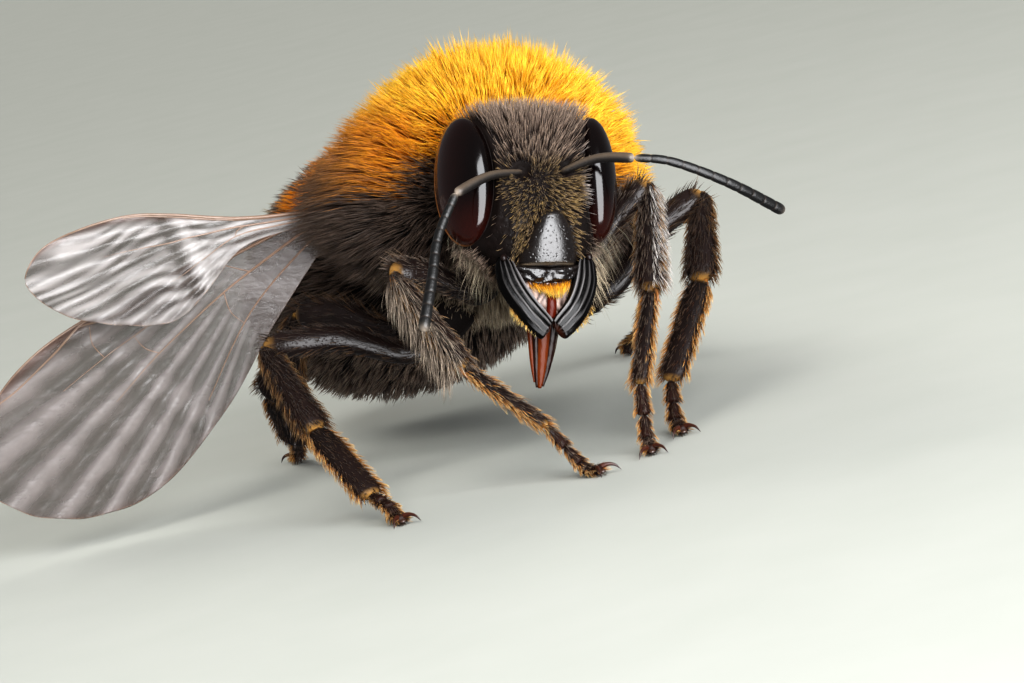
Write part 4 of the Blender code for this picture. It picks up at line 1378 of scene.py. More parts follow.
VEIN_GIRTH = 0.75  # share of the girths below
VEINS = {
    # (girth at the root, girth at the end, places as fractions along and across)
    "forewing": (
        (0.085, 0.050, ((0.00, 0.90), (0.15, 0.96), (0.35, 0.975), (0.55, 0.98), (0.66, 0.985))),
        (0.070, 0.040, ((0.00, 0.70), (0.15, 0.84), (0.32, 0.88), (0.50, 0.90), (0.60, 0.94), (0.66, 0.98))),
        (0.060, 0.020, ((0.00, 0.50), (0.14, 0.60), (0.28, 0.62), (0.42, 0.62), (0.56, 0.58), (0.68, 0.52))),
        (0.050, 0.020, ((0.02, 0.30), (0.16, 0.34), (0.30, 0.32), (0.42, 0.24), (0.52, 0.14))),
        (0.050, 0.030, ((0.66, 0.98), (0.74, 0.93), (0.84, 0.92), (0.91, 0.985))),
        (0.040, 0.018, ((0.30, 0.88), (0.40, 0.80), (0.52, 0.77), (0.64, 0.76), (0.76, 0.74))),
        (0.030, 0.022, ((0.52, 0.90), (0.535, 0.84), (0.53, 0.77))),
        (0.030, 0.022, ((0.64, 0.95), (0.655, 0.86), (0.65, 0.76))),
        (0.030, 0.022, ((0.30, 0.62), (0.32, 0.74), (0.34, 0.85))),
        (0.030, 0.020, ((0.55, 0.58), (0.57, 0.67), (0.575, 0.765))),
        (0.030, 0.020, ((0.37, 0.62), (0.38, 0.45), (0.37, 0.285))),
    ),
    "hindwing": (
        (0.060, 0.030, ((0.00, 0.92), (0.15, 0.95), (0.35, 0.95), (0.52, 0.97), (0.70, 0.985))),
        (0.055, 0.016, ((0.00, 0.62), (0.16, 0.66), (0.34, 0.70), (0.50, 0.74), (0.64, 0.70), (0.78, 0.66))),
        (0.045, 0.016, ((0.02, 0.34), (0.18, 0.40), (0.34, 0.44), (0.48, 0.42), (0.60, 0.36))),
        (0.030, 0.020, ((0.36, 0.705), (0.385, 0.58), (0.39, 0.44))),
    ),
}
WING_GRIDS = {"forewing": (110, 92), "hindwing": (104, 84)}
# Veins along a wing's two edges: how far across each runs, and its girths at the stops.
RIM_STOPS = (0, 0.2, 0.7, 1)
RIM_VEINS = ((0.995, (0.045, 0.055, 0.036, 0.016)), (0.005, (0.014, 0.012, 0.012, 0.012)))


def wing_membrane(wing, rows, columns):
    """A thin closed sheet over the wing, painted lighter on the crests of its folds and darker in their
    troughs as highlight and shade, browner at its edge, and how dense it is at each point."""
    u, v = grid(0.5 - 0.5 * np.cos(np.linspace(0, math.pi, rows)), np.linspace(0, 1, columns))
    (over, wave), (under, _) = wing.at(u, v, 0.012), wing.at(u, v, -0.012)
    i, j = grid(np.arange(rows - 1), np.arange(columns - 1))
    top = (i * columns + j).reshape(-1, 1) + [0, columns, columns + 1, 1]
    last = rows * columns
    border = np.concatenate([
        np.arange(columns - 1), np.arange(columns - 1, last - 1, columns),
        np.arange(last - 1, last - columns, -1), np.arange(last - columns, 0, -columns),
    ])
    after = np.roll(border, -1)
    wall = np.stack([border, after, after + last, border + last], -1)
    edge = 0.9 * smoothstep(0.90, 1.0, v) + 0.35 * smoothstep(0.05, 0.0, v) + 0.8 * smoothstep(0.26, 0.06, u)
    patches = ripple(over.reshape(-1, 3), 1.6, 43).reshape(u.shape)
    # Painted highlight and shade: the fold crests lighter and denser, the troughs darker.
    bright = smoothstep(-0.85, 0.75, wave + 0.30 * patches)
    tone = mixed(WING_SMOKE_AND_SHADE, paint(wing.form["crest"]), bright)
    tone = mixed(tone, WING_BROWN, np.clip(edge, 0, 1)).reshape(-1, 3)
    body = np.clip(0.54 + 0.32 * bright + 0.5 * edge, 0, 1).ravel()
    points = np.concatenate([over, under]).reshape(-1, 3)
    quads = np.concatenate([top, top[:, ::-1] + last, wall])
    return Shape().add(points, quads, [], np.concatenate([tone, tone])), np.concatenate([body, body])


def make_wings(membrane, vein):
    """Membrane and veins of each wing."""
    tubes = tube_tree(vein)
    for name, place in WINGS.items():
        kind = name.split("_")[0]
        wing = Wing(WING_SHAPES[kind], *place)
        sheet, body = wing_membrane(wing, *WING_GRIDS[kind])
        show_shape(sheet, f"{name}_membrane", membrane, [name], body)
        paths, girths = [], []
        for thick, thin, places in VEINS[kind]:
            line = along([(*p, 0) for p in places], np.linspace(0, 1, 40))[0]
            paths.append(wing.at(line[:, 0], line[:, 1])[0])
            girths.append(VEIN_GIRTH * np.linspace(thick, thin, 40))
        rim = 0.5 - 0.5 * np.cos(np.linspace(0, math.pi, 160))
        for across, stops in RIM_VEINS:
            paths.append(wing.at(rim, across)[0])
            girths.append(np.interp(rim, RIM_STOPS, stops))
        mesh = tubes.apply(drawn_lines(paths, girths), Sides=7)
        out = np.linalg.norm(mesh_points(mesh) - np.array(wing.place.translation), axis=1) / wing.length
        set_tone(mesh, mixed(paint("7A5A42"), paint("8A7464"), smoothstep(0.05, 0.6, out)))
        show(mesh, f"{name}_veins", vein)


def make_wing_roots(material):
    """The small plates and knuckles that the wings spring from."""
    plates = Shape()
    for side, _ in SIDES:
        root = Vector(WINGS[f"forewing_{side}"][0])
        inward = Vector((-root.x, -0.3, -0.4)).normalized()
        for step, sizes, tone in (
            (0.0, (0.42, 0.50, 0.30), "3A1E12"),
            (0.35, (0.40, 0.42, 0.34), "24140E"),
            (-0.3, (0.26, 0.20, 0.18), "6A3A20"),
        ):
            plates.add(*dome(sizes, STANCE @ Matrix.Translation(root + inward * step), 18, 24), paint(tone))
        root = STANCE @ Matrix.Translation(WINGS[f"hindwing_{side}"][0])
        plates.add(*dome((0.34, 0.30, 0.22), root, 16, 20), paint("4A2818"))
    show_shape(plates, "wing_roots", material)


# ---------------------------------------------------------------------------------------------
# Coat

THORAX_HAIRS, ABDOMEN_HAIRS, FACE_HAIRS, BEARD_HAIRS = 36800, 20400, 10500, 2300
LIP_HAIRS, JAW_HAIRS, MANE_HAIRS = 260, 110, 1700
HAIR_STOPS = np.array((0.0, 0.36, 0.72, 1.0))  # where along a hair its three rings and its tip stand
HAIR_TAPER = np.array((1.0, 0.95, 0.60))
HAIR_SIDES = [(3 * ring, j, (j + 1) % 3) for ring in range(2) for j in range(3)]
HAIR_QUADS = np.array([(r + j, r + after, r + 3 + after, r + 3 + j) for r, j, after in HAIR_SIDES])
HAIR_TRIS = np.array([(6, 7, 9), (7, 8, 9), (8, 6, 9), (2, 1, 0)])
HAIR_POINTS = 10
PATCH = 0.003  # side of a hair's patch on the unwrap
QUAD_PATCH = np.array([
    [(j, k), (j + 1, k), (j + 1, k + 1), (j, k + 1)] for k in range(2) for j in range(3)
]) / 3 - 0.5
TRI_PATCH = np.array([
    *([(j, 2), (j + 1, 2), (j + 0.5, 3)] for j in range(3)), [(2, 0), (1, 0), (0, 0)],
]) / 3 - 0.5


class Coat:
    """Hairs gathered as arrays: where each is rooted, how it leaves the skin and where it tends."""

    def __init__(self, seed):
        self.draw = np.random.default_rng(seed)
        self.parts = []

    def add(self, root, out, lie, length, girth, tones, unwrap, place=LEVEL):
        """Hairs of one stretch of skin, drawn in a frame. Tones are for root, middle and tip."""
        count = len(root)
        self.parts.append(dict(
            root=carry(root, place), out=unit(aim(out, place)), lie=unit(aim(lie, place)),
            length=np.broadcast_to(length, count), girth=np.broadcast_to(girth, count),
            tones=tones.transpose(1, 0, 2), unwrap=unwrap,
        ))

    def finish(self, label, pieces, lock, share, per_lock, material, slot):
        """Makes a coat's pieces, each a stretch of the unwrap spread over its own whole square."""
        hairs = {key: np.concatenate([part[key] for part in self.parts]) for key in self.parts[0]}
        elbow, tip = in_locks(hairs, lock, share, per_lock, self.draw)
        order = np.argsort(hairs["unwrap"][:, 0])
        for i, chosen in enumerate(np.array_split(order, pieces)):
            own = {key: value[chosen] for key, value in hairs.items()}
            across, up = own["unwrap"].T
            across = (across - across.min()) / max(np.ptp(across), 1e-6)
            own["unwrap"] = 0.01 + 0.98 * np.stack([across, up], 1)
            name = f"coat_{label}_{i + 1}" if pieces > 1 else f"coat_{label}"
            coat_piece(name, own, elbow[chosen], tip[chosen], material, self.draw)


def in_locks(hairs, size, share, per_lock, draw):
    """Draws the hairs' tips together into locks that stand about a size apart."""
    count = len(hairs["root"])
    half = hairs["length"][:, None] * 0.5
    elbow = hairs["root"] + hairs["out"] * half
    tip = elbow + hairs["lie"] * half
    heads = draw.permutation(count)[:max(1, int(count / per_lock))]
    tree = KDTree(len(heads))
    for i, head in enumerate(heads):
        tree.insert(hairs["root"][head], i)
    tree.balance()
    head = heads[[tree.find(place)[1] for place in hairs["root"]]]
    shift = tip[head] - tip + size * draw.normal(size=(count, 3)) * 0.22
    reach = np.linalg.norm(shift, axis=1, keepdims=True)
    shift *= np.minimum(1, 2.2 * size / np.maximum(reach, 1e-6))
    pull = share * draw.uniform(0.6, 1.0, (count, 1))
    return elbow + shift * pull * 0.35, tip + shift * pull


def coat_piece(name, hairs, elbow, tip, material, draw):
    """One piece of the coat: a closed tapering blade for every hair, three-sided and curved."""
    count = len(elbow)
    root = hairs["root"] - hairs["out"] * 0.05
    root, elbow, tip = (ends[:, None] for ends in (root, elbow, tip))
    stops = HAIR_STOPS[None, :, None]
    line = (1 - stops) ** 2 * root + 2 * stops * (1 - stops) * elbow + stops ** 2 * tip
    slope = unit((1 - stops) * (elbow - root) + stops * (tip - elbow))
    side = unit(np.cross(slope, draw.normal(size=(count, 1, 3))))
    over = np.cross(slope, side)
    corner = around(3)[:, None]
    ring = side[:, :3, None] * np.cos(corner) + over[:, :3, None] * np.sin(corner)
    wide = hairs["girth"][:, None, None, None] * HAIR_TAPER[None, :, None, None]
    rings = (line[:, :3, None] + ring * wide).reshape(count, -1, 3)
    points = np.concatenate([rings, line[:, 3:]], axis=1).reshape(-1, 3)
    low, middle, high = (hairs["tones"][:, k] for k in range(3))
    shades = np.repeat(np.stack([low, middle, 0.45 * middle + 0.55 * high], 1), 3, axis=1)
    shades = np.concatenate([shades, high[:, None]], axis=1).reshape(-1, 3)
    first = (np.arange(count) * HAIR_POINTS)[:, None, None]
    mesh = raw_mesh(name, points, (HAIR_QUADS + first).reshape(-1, 4), (HAIR_TRIS + first).reshape(-1, 3))
    set_tone(mesh, shades)
    unwrap = hairs["unwrap"][:, None, None]
    corners = [(unwrap + PATCH * patch).reshape(-1, 2) for patch in (QUAD_PATCH, TRI_PATCH)]
    layer = mesh.uv_layers.new(name="OFBake")
    layer.data.foreach_set("uv", np.concatenate(corners).astype(np.float32).ravel())
    show(mesh, name, material)


def scatter(draw, points, normals, faces, weight, count):
    """Even random places on a surface, as thick as a weight at its points says."""
    a, b, c = (points[corner] for corner in faces.T)
    area = 0.5 * np.linalg.norm(np.cross(b - a, c - a), axis=1) * weight[faces].mean(axis=1)
    chosen = np.searchsorted(np.cumsum(area), draw.uniform(0, area.sum(), count))
    chosen = np.minimum(chosen, len(faces) - 1)
    r, s = np.sqrt(draw.uniform(size=count))[:, None], draw.uniform(size=count)[:, None]
    shares = (1 - r, r * (1 - s), r * s)
    root = sum(share * v[chosen] for share, v in zip(shares, (a, b, c)))
    normal = sum(share * normals[faces[chosen, i]] for i, share in enumerate(shares))
    return root, unit(normal)


def jitter(draw, count, amount):
    """Small random differences of direction."""
    return draw.normal(size=(count, 3)) * amount


def dyed(count, colours):
    """The same root, middle and tip colours for each of many hairs."""
    return colours[:, None] + np.zeros((count, 1))


def over(colours, share, base):
    """Lays root, middle and tip colours over others by a share for each hair."""
    return mixed(base, colours[:, None], share)


def lively(draw, tones, amount):
    """Small differences of lightness from hair to hair."""
    return np.clip(tones * np.exp(draw.normal(size=(tones.shape[1], 1)) * amount), 0, 1)


def round_map(x, y, height):
    """Places on the unwrap: the way round from behind, and a height from 0 to 1."""
    return np.stack([np.arctan2(x, -y) / (2 * math.pi) + 0.5, height], 1)


def thorax_tones(root, radial, draw):
    """Colours of the gold hair, rust on the shoulders and smoky at the nape, and the share of gold
    in each hair: all of it above, none low on the sides."""
    height = radial[:, 2]
    edge = height + 0.07 * ripple(root, 1.6, 4) + draw.normal(size=len(root)) * 0.05
    edge += 0.16 * smoothstep(0.3, 0.9, radial[:, 0]) - 0.10 * smoothstep(-0.2, -0.8, radial[:, 1])
    deep = smoothstep(0.62, 0.10, edge + 0.22 * ripple(root, 1.3, 5))
    shoulder = smoothstep(-0.45, -0.75, radial[:, 0]) * smoothstep(0.75, 0.45, height)
    deep = np.maximum(0.6 * deep, 0.9 * shoulder)
    nape = np.linalg.norm(carry(carry(root, STANCE), HEAD.inverted()) - [0, 0.3, 0.1], axis=1)
    smoky = smoothstep(2.75, 2.25, nape + 0.15 * ripple(root, 0.8, 7)) * 0.8
    golden = over(np.array([*TAWNY[:2], FACE[2]]), smoky, over(RUST, deep, GOLD[:, None]))
    return golden, smoothstep(0.02, 0.12, edge)


def grow_thorax_coat(trunk, material):
    """A deep brush of gold hair that stands out all round, black-brown low on the sides."""
    coat = Coat(11)
    draw = coat.draw
    own, normals = carry(trunk["points"], STANCE.inverted()), aim(trunk["normals"], STANCE.inverted())
    weight = smoothstep(1.35, 1.15, thorax_reach(own, THORAX_SKIN))
    weight = weight * (0.45 + 0.55 * smoothstep(-0.6, 0.1, own[:, 2] / 2.7))
    root, normal = scatter(draw, own, normals, trunk["faces"], weight, THORAX_HAIRS)
    count, radial = len(root), unit(root)
    height = radial[:, 2]
    depth = 1 / thorax_reach(radial, THORAX_COAT) - np.linalg.norm(root, axis=1)
    low = smoothstep(0.10, -0.45, height)
    uneven = draw.uniform(0.60, 0.98, count) + 0.24 * draw.uniform(size=count) ** 6
    length = np.clip(depth, 0.35, 1.6) * (uneven + 0.10 * ripple(root, 0.5, 8)) * (1 + 0.12 * low)
    out = normal * 0.6 + radial * 0.5 + jitter(draw, count, 0.10)
    lie = radial + [0, 0.22, 0] + 0.28 * sway(root, 2.2, 1) + 0.22 * sway(root, 0.7, 61)
    lie += jitter(draw, count, 0.16) - np.outer(low, [0, -0.2, 0.75])
    golden, gold = thorax_tones(root, radial, draw)
    # Longer dark hair lies out over the roots of the spread wings.
    for name in ("forewing_right", "hindwing_right"):
        start, tip = (np.array(place) for place in WINGS[name][:2])
        near = bell(np.linalg.norm(root - start - [0, -0.9, 0], axis=1), 1.2)
        length = length + 0.75 * near
        lie = lie + np.outer(2.5 * near, unit(tip - start) + [0, -0.10, 0])
        gold = gold * (1 - 0.9 * near)
    pale = smoothstep(-0.45, -0.75, height + 0.1 * ripple(root, 1.2, 6))
    pale = pale * (0.45 + 0.55 * smoothstep(-0.5, 0.2, radial[:, 0])) * draw.uniform(0.5, 1.0, count)
    tones = mixed(over(CREAM, pale, DARK[:, None]), golden, gold)
    girth = 0.0155 * draw.uniform(0.7, 1.25, count)
    unwrap = round_map(radial[:, 0], radial[:, 1], 0.5 + 0.5 * height)
    coat.add(root, out, lie, length, girth, lively(draw, tones, 0.16), unwrap, STANCE)
    coat.finish("thorax", 4, 0.20, 0.50, 14, material, "gold_coat")


def abdomen_tones(own, draw):
    """Bands of the abdomen: rust in front, black with cream edges, ginger at the tail."""
    count = len(own)
    middle, wide, high = abdomen_section(own[:, 1], ABDOMEN_COAT_DEPTH)
    away = (own - middle) / np.stack([np.maximum(wide, 0.3), np.ones(count), np.maximum(high, 0.3)], 1)
    lift = np.sin(np.arctan2(away[:, 2], np.abs(away[:, 0])))
    ring = abdomen_ring(own[:, 1]) + 0.10 * ripple(own, 1.5, 21) + draw.normal(size=count) * 0.06
    rust = smoothstep(2.05, 1.85, ring) * smoothstep(0.12, 0.32, lift + 0.06 * ripple(own, 1.3, 22))
    cream = sum(bell(ring - edge, 0.16) for edge in (2.95, 3.95)) + smoothstep(4.45, 4.6, ring)
    cream = np.clip(0.85 * cream, 0, 1) * smoothstep(-0.6, -0.1, lift)
    below = smoothstep(-0.55, -0.8, lift) * smoothstep(5.3, 5.0, ring)
    tones = over(RUST, rust, dyed(count, DARK))
    tones = over(CREAM * [[1], [0.85], [0.85]], cream, tones)
    tones = over(RUST, smoothstep(4.9, 5.05, ring), tones)
    return over(np.array([DARK[0], *FACE[1:]]), below, tones), lift


def grow_abdomen_coat(trunk, material):
    """Hair that lies back over the rings of the abdomen."""
    coat = Coat(12)
    draw = coat.draw
    own, normals = carry(trunk["points"], STANCE.inverted()), aim(trunk["normals"], STANCE.inverted())
    weight = smoothstep(1.08, 1.25, thorax_reach(own, THORAX_SKIN)) * smoothstep(2.4, 3.0, own[:, 1])
    weight *= 0.55 + 0.45 * smoothstep(-0.9, -0.1, (own[:, 2] + ABDOMEN_DROP) / 3.2)
    root, normal = scatter(draw, own, normals, trunk["faces"], weight, ABDOMEN_HAIRS)
    count = len(root)
    backward = np.array([-ABDOMEN_SWING, 1.0, -0.08])
    back = unit(backward - normal * (normal @ backward)[:, None] * 0.8 + 1e-6)
    out = normal * 0.85 + back * 0.45 + jitter(draw, count, 0.10)
    lie = normal * 0.42 + back * 0.85 + 0.2 * sway(root, 1.8, 31) + jitter(draw, count, 0.12)
    tail = smoothstep(10.5, 12.2, root[:, 1])
    tones, lift = abdomen_tones(root, draw)
    length = (1.05 - 0.25 * tail - 0.30 * smoothstep(-0.3, -0.8, lift)) * draw.uniform(0.7, 1.12, count)
    girth = 0.018 * draw.uniform(0.7, 1.25, count)
    turn = np.arctan2(root[:, 0] + ABDOMEN_SWING * (root[:, 1] - ABDOMEN_START), root[:, 2] + ABDOMEN_DROP)
    unwrap = np.stack([(root[:, 1] - 2) / 11, turn / (2 * math.pi) + 0.5], 1)
    coat.add(root, out, lie, length, girth, lively(draw, tones, 0.18), unwrap, STANCE)
    coat.finish("abdomen", 3, 0.15, 0.55, 12, material, "dark_coat")


def head_coat_rules(points):
    """Direction, length and shares of tawny, cream and silver of the hair at places on the head."""
    x, y, z = points.T
    level = 0 * x
    front = smoothstep(0.05, 0.45, -y)
    above = smoothstep(-0.25, 0.35, z)
    crown = smoothstep(0.75, 1.25, z)
    behind = smoothstep(0.15, 0.55, y)
    fan = np.stack([x * 0.85, -0.55 - 0.1 * z, 0.25 + np.clip(z + 0.25, 0, 2)], 1)
    below = np.stack([x * 1.3 + 0.15 * np.sign(x), level - 0.75, level - 0.55], 1)
    nape = np.stack([x * 0.5, level + 0.6, 0.55 * z - 0.35], 1)
    lie = mixed(mixed(unit(below), unit(fan), above), unit(nape), behind)
    length = 0.26 + 0.13 * above + 0.20 * crown
    length = length * (1 - behind) + behind * (0.55 + 0.35 * smoothstep(0.4, -1.2, z))
    tawny = front * smoothstep(0.45, 0.0, z) * smoothstep(1.25, 0.9, np.abs(x + 0.1))
    silver = front * smoothstep(0.95, 1.15, x) * smoothstep(0.9, 0.4, z) * smoothstep(-1.2, -0.8, z)
    pale = behind * smoothstep(1.0, 0.2, z) * (0.10 + 0.90 * smoothstep(-0.2, 0.5, x))
    return lie, length, tawny, pale, silver


def face_weight(points):
    """How thick the short hair stands: bare on nose, lip, most of the cheeks, eyes and sockets."""
    x, y, z = points.T
    front = smoothstep(0.05, 0.45, -y)
    cheek = smoothstep(-0.35, -0.9, z) * smoothstep(0.72, 0.92, np.abs(x) - 0.12 * smoothstep(-1.2, -0.4, z))
    bare = front * np.maximum(smoothstep(1.15, 0.85, nose_reach(x, z)), 0.93 * cheek)
    bare = np.maximum(bare, front * smoothstep(-2.15, -2.3, z))
    sparse = front * smoothstep(0.35, 0.9, np.abs(x)) * smoothstep(-0.2, 0.2, z) * smoothstep(1.1, 0.8, z)
    sparse = np.maximum(sparse, front * smoothstep(-0.75, -1.0, x) * smoothstep(0.2, -0.1, z))
    weight = (1 - bare) * smoothstep(-2.35, -2.15, z + 0.6 * (1 - front)) * (1 - 0.6 * sparse)
    for sign in (1, -1):
        local = carry(points, eye_frame(sign).inverted())
        weight = weight * np.where(local[:, 0] > -0.6, smoothstep(1.05, 1.18, eye_reach(local)), 1)
        away = np.hypot(x - sign * SOCKET[0], z - SOCKET[1])
        weight = weight * np.where(y < 0, smoothstep(0.16, 0.30, away), 1)
    return np.clip(weight, 0, 1)


def grow_face_coat(head, material):
    """Short upright hair on the face and crown, longer and paler behind the eyes."""
    coat = Coat(13)
    draw = coat.draw
    points = head["points"]
    normals = unit(points - [0, 0.05, -0.2])
    root, normal = scatter(draw, points, normals, head["faces"], face_weight(points), FACE_HAIRS)
    lie, length, tawny, pale, silver = head_coat_rules(root)
    count = len(root)
    out = normal * 0.9 + lie * 0.5 + jitter(draw, count, 0.15)
    lie = lie + normal * 0.45 + jitter(draw, count, 0.24)
    tones = over(TAWNY, tawny * draw.uniform(0.4, 1.0, count), dyed(count, FACE))
    tones = over(CREAM * [[1], [0.8], [0.9]], 0.8 * pale, tones)
    tones = over(np.array([FACE[0], SILVER * 0.5, SILVER]), silver, tones)
    girth = 0.0088 * draw.uniform(0.7, 1.3, count) * (1 + 0.5 * pale)
    unwrap = round_map(root[:, 0], root[:, 1], (root[:, 2] + 2.6) / 4.3)
    length = length * draw.uniform(0.7, 1.15, count)
    coat.add(root, out, lie, length, girth, lively(draw, tones, 0.25), unwrap, HEAD)
    coat.finish("face", 1, 0.06, 0.35, 7, material, "face")


def rows_of(*values):
    """A row for each hair, from values of which some are the same for every hair."""
    return np.stack(np.broadcast_arrays(*values), 1)


def grow_beard(material):
    """Long pale hair that hangs from under and behind the head, the lip's fringe and the jaws'."""
    coat = Coat(14)
    draw = coat.draw
    count = BEARD_HAIRS
    turn = draw.uniform(-1, 1, count)
    turn = np.where((turn < -0.1) & (draw.uniform(size=count) < 0.45), -turn, turn)
    fall = draw.uniform(0, 1, count)
    root = rows_of(turn * (1.55 - 0.55 * fall), 0.35 + 0.55 * (1 - turn ** 2) * fall, -0.45 - 1.55 * fall)
    out = rows_of(turn * 0.75, -0.25, -0.60) + jitter(draw, count, 0.18)
    lie = rows_of(turn * 0.12, -0.22, -1.0) + jitter(draw, count, 0.15)
    length = draw.uniform(0.7, 1.9, count) * (0.75 + 0.35 * np.abs(turn) + 0.15 * (turn > 0))
    # Painted shade: hairs rooted high, close under the head, are darkened; those on the bee's right side are
    # darker too.
    shade = np.where(fall > 0.4, 1.0, 0.4) * np.where(turn < 0, 0.5, 1.0)
    tones = dyed(count, np.array([DARK[0], CREAM[1] * 0.8, CREAM[2]]))
    tones = lively(draw, tones, 0.3) * shade[:, None]
    unwrap = np.stack([0.5 + 0.38 * turn, 0.05 + 0.55 * fall], 1)
    girth = 0.0075 * draw.uniform(0.7, 1.3, count)
    coat.add(root, out, lie, length, girth, tones, unwrap, HEAD)
    count = LIP_HAIRS
    across = 2 * draw.uniform(0, 1, count) ** 0.62 - 1
    root = rows_of(across * 0.58, -1.02 - 0.08 * (1 - across ** 2), -2.82 + 0.10 * across ** 2)
    root = root + jitter(draw, count, 0.02)
    out = rows_of(-0.25 * across, -0.45, -0.8) + jitter(draw, count, 0.14)
    lie = rows_of(0.15 - 1.0 * across, -0.045, -1.0) + jitter(draw, count, 0.12)
    tones = lively(draw, dyed(count, dye("7A3A06", "D89010", "F8CC60")), 0.35)
    unwrap = rows_of(0.5 + 0.4 * across, 0.75)
    coat.add(root, out, lie, draw.uniform(0.14, 0.50, count), 0.008, tones, unwrap, HEAD)
    count = JAW_HAIRS
    for sign in (1, -1):
        jaw = jaw_limb(sign, ((0, 0.31), (0.8, 0.30), (1, 0.18)), 0.52)
        share = draw.uniform(0.55, 0.98, count)
        point, normal, axis = jaw.at(share, draw.uniform(-0.3, 0.3, count))
        tones = lively(draw, dyed(count, dye("4A3010", "B08438", "E8CC88")), 0.3)
        unwrap = rows_of(0.2 + 0.6 * share, 0.9)
        length = draw.uniform(0.08, 0.22, count)
        coat.add(point, normal + 0.5 * axis, normal + axis, length, 0.006, tones, unwrap, HEAD)
    coat.finish("beard", 1, 0.10, 0.45, 6, material, "cream_coat")


# Hair on each length of a leg: hairs, length, lift off the skin, length of the fringe on its
# two broad edges, share of fringe hairs, and how warm its colour is.
LEG_COATS = {
    "femur": (760, 0.34, 0.32, 0.50, 0.25, 0.12),
    "tibia": (1250, 0.30, 0.28, 0.42, 0.30, 0.3),
    "basitarsus": (860, 0.20, 0.22, 0.38, 0.50, 0.95),
    "bead": (175, 0.19, 0.40, 0.24, 0.50, 0.95),
}
FRONT_TIBIA_WARMTH = 0.5
LEG_FRINGE = np.array([TAWNY[0], paint("B07028"), paint("F4CA88")])
# The two legs of a pair stand one over the other on the unwrap, their seven lengths side by side.
LEG_COLUMNS, LEG_ROWS = 7, 2


def grow_leg_coats(legs, material):
    """Dark hair on the legs, with a warm fringe along their broad edges."""
    for seed, pair in enumerate(("front", "middle", "hind"), 15):
        coat = Coat(seed)
        own = [(name, limbs) for name, limbs in legs.items() if name.startswith(pair)]
        for row, (name, limbs) in enumerate(own):
            for column, (part, limb) in enumerate(limbs.items()):
                grow_leg_part(coat, limb, part, pair == "front", column, row)
            if pair == "front":
                grow_mane(coat, limbs["tibia"], -1 if name.endswith("right") else 1, row)
        coat.finish(f"{pair}_legs", 1, 0.06, 0.35, 5, material, "dark_coat")


def grow_leg_part(coat, limb, part, front, column, row):
    """The hair of one length of a leg, with paler tips and a warmer tibia on the front pair."""
    draw = coat.draw
    count, reach, lift, fringe_reach, fringe_share, warmth = LEG_COATS[part.split("_")[0]]
    if front and part == "tibia":
        warmth = FRONT_TIBIA_WARMTH
    tip = paint("7A6E64" if front else "3A2E28")
    f = draw.uniform(0.02, 0.99, count)
    fringe = draw.uniform(size=count) < fringe_share
    side = np.where(draw.uniform(size=count) < 0.5, 0.0, math.pi)
    a = np.where(fringe, side + draw.normal(size=count) * 0.28, draw.uniform(0, 2 * math.pi, count))
    point, normal, axis = limb.at(f, a)
    grown = np.where(fringe, fringe_reach, reach) * draw.uniform(0.65, 1.15, count)
    rise = np.where(fringe, lift + 0.30, lift)[:, None]
    out = normal * rise + axis * 0.6 + jitter(draw, count, 0.08)
    lie = normal * rise * 0.6 + axis + jitter(draw, count, 0.10)
    warm = np.where(fringe, 1.0, 0.06) * draw.uniform(0.5, 1.0, count) * warmth
    tones = over(LEG_FRINGE, warm, dyed(count, np.array([DARK[0], DARK[1] * 1.3, tip])))
    turn = a % (2 * math.pi) / (2 * math.pi)
    unwrap = np.stack([(column + turn) / LEG_COLUMNS, (row + f) / LEG_ROWS], 1)
    girth = 0.0095 * draw.uniform(0.75, 1.2, count)
    coat.add(point, out, lie, grown, girth, lively(draw, tones, 0.25), unwrap)


def grow_mane(coat, limb, sign, row):
    """Silvery hair on the outer side of a front tibia: short and whiter on the left leg, its whiteness
    partly a painted sheen, hanging on the right.
    """
    draw = coat.draw
    f, a = draw.uniform(0.04, 0.96, MANE_HAIRS), draw.uniform(0, 2 * math.pi, MANE_HAIRS)
    point, normal, axis = limb.at(f, a)
    outer = normal @ np.array(Vector((sign, -0.75, -0.35)).normalized()) > 0.25
    f, a, point, normal, axis = (values[outer] for values in (f, a, point, normal, axis))
    count = len(f)
    out = 0.7 * normal + 0.5 * axis + jitter(draw, count, 0.10)
    lie = 0.35 * normal + 0.8 * axis + [0.10 * sign, 0, -0.7] + jitter(draw, count, 0.08)
    # The left leg's whiter colours are partly the hair's own pale colour and partly a painted sheen.
    colours, shortness = (("8E8884", "E4DCD4"), 0.5) if sign > 0 else (("5C5046", "BCAC9A"), 1.0)
    tones = lively(draw, dyed(count, np.array([DARK[0], *map(paint, colours)])), 0.3)
    unwrap = np.stack([(1 + a / (2 * math.pi)) / LEG_COLUMNS, (row + f) / LEG_ROWS], 1)
    coat.add(point, out, lie, draw.uniform(0.45, 1.10, count) * shortness, 0.0085, tones, unwrap)


# ---------------------------------------------------------------------------------------------
# Room


def make_floor():
    """A plain floor that reaches far out on all sides."""
    size = 4.0
    corners = np.array([(-size, -size, 0), (size, -size, 0), (size, size, 0), (-size, size, 0)])
    mesh = raw_mesh("floor", corners, np.array([[0, 1, 2, 3]]), np.empty((0, 3), int))
    mesh.materials.append(floor_finish())
    floor = add_object("floor", mesh)
    floor.visible_glossy = False


def add_lamp(name, kind, strength, colour, direction):
    """A light that shines from a direction."""
    lamp = bpy.data.lights.new(name, kind)
    lamp.energy = strength
    lamp.color = colour
    made = add_object(name, lamp)
    made.rotation_euler = Vector(direction).to_track_quat("Z", "Y").to_euler()
    return made


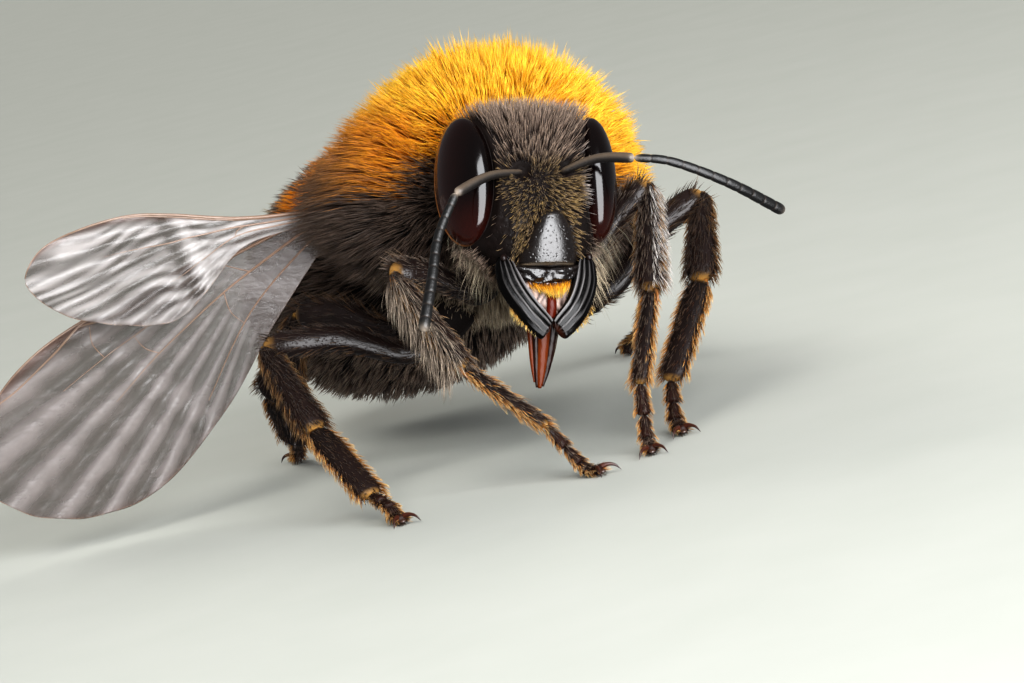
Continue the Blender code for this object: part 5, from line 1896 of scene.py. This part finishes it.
def light_room():
    """One tall soft light before the face, which polished surfaces mirror, wide even ones from above
    and behind, which they don't, and a dim sky."""
    offset = Vector((26, -112, -10))
    front = add_lamp("front", "AREA", 0.90, (0.97, 0.98, 1.0), offset)
    front.data.shape = "RECTANGLE"
    front.data.size, front.data.size_y = 112 * MM, 200 * MM
    front.location = SHIFT + (HEAD.translation + offset) * MM
    for name, strength, spread, colour, direction in (
        ("above", 1.5, 35, (1.0, 0.97, 0.93), (-0.50, -0.45, 1.0)),
        ("behind", 0.6, 25, (1.0, 0.97, 0.90), (0.45, 0.80, 0.75)),
        ("rear", 1.6, 30, (1.0, 0.98, 0.94), (-0.40, 1.0, 0.50)),
    ):
        sun = add_lamp(name, "SUN", strength, colour, direction)
        sun.data.angle = math.radians(spread)
        sun.visible_glossy = False
    scene = bpy.context.scene
    scene.world = bpy.data.worlds.new("studio")
    scene.world.use_nodes = True
    sky = scene.world.node_tree.nodes["Background"].inputs
    sky["Color"].default_value = (0.80, 0.83, 0.86, 1)
    sky["Strength"].default_value = 0.25
    scene.view_settings.view_transform = "Standard"
    scene.view_settings.look = "Medium High Contrast"


def place_camera():
    """Looks at the face from a little above and from the bee's right, rolled as the pose is."""
    azimuth, elevation, roll = (math.radians(a) for a in (-14, 8, 14))
    distance, view_width = 105.0, 25.924  # of the camera from the face, and of the view there
    level = Vector((math.cos(azimuth), math.sin(azimuth), 0))
    ahead = Vector((math.sin(azimuth), -math.cos(azimuth), 0))
    toward = ahead * math.cos(elevation) + UP * math.sin(elevation)
    upright = toward.cross(level)
    right = math.cos(roll) * level - math.sin(roll) * upright
    up = math.sin(roll) * level + math.cos(roll) * upright
    face, aside, below = Vector((-0.32, -4.5, 7.27)), 0.3038, 4.0886
    place = face - right * aside - up * below + toward * distance
    lens = bpy.data.cameras.new("camera")
    lens.sensor_width = 36
    lens.lens = lens.sensor_width * distance / view_width
    lens.clip_start = 0.01
    camera = add_object("camera", lens)
    turn = Matrix((right, up, toward)).transposed().to_4x4()
    camera.matrix_world = Matrix.Translation(SHIFT + place * MM) @ turn
    bpy.context.scene.camera = camera


place_camera()
light_room()
make_floor()

cuticle = skin_finish()
horn = horn_finish("horn", 0.30, 0.12, 0.010, HORN_BROWN * 0.5)
feeler_skin = horn_finish("feeler_skin", 0.38, 0.05, 0.010, BLACK)
vein = horn_finish("wing_vein", 0.30, 0.15, 0.010, HORN_BROWN * 0.5)
hair = coat_finish("hair", 0.48, 0.05)
jaw_horn = jaw_finish()

trunk, head, legs = make_skin(cuticle)
make_eyes(eye_finish())
make_feelers(feeler_skin)
make_jaws(jaw_horn)
make_tongue(amber_finish())
make_mouth_folds(jaw_horn)
make_claws(horn)
make_leg_bristles(legs, horn)
make_wings(membrane_finish(), vein)
make_wing_roots(vein)
grow_thorax_coat(trunk, hair)
grow_abdomen_coat(trunk, hair)
grow_face_coat(head, hair)
grow_beard(hair)
grow_leg_coats(legs, hair)
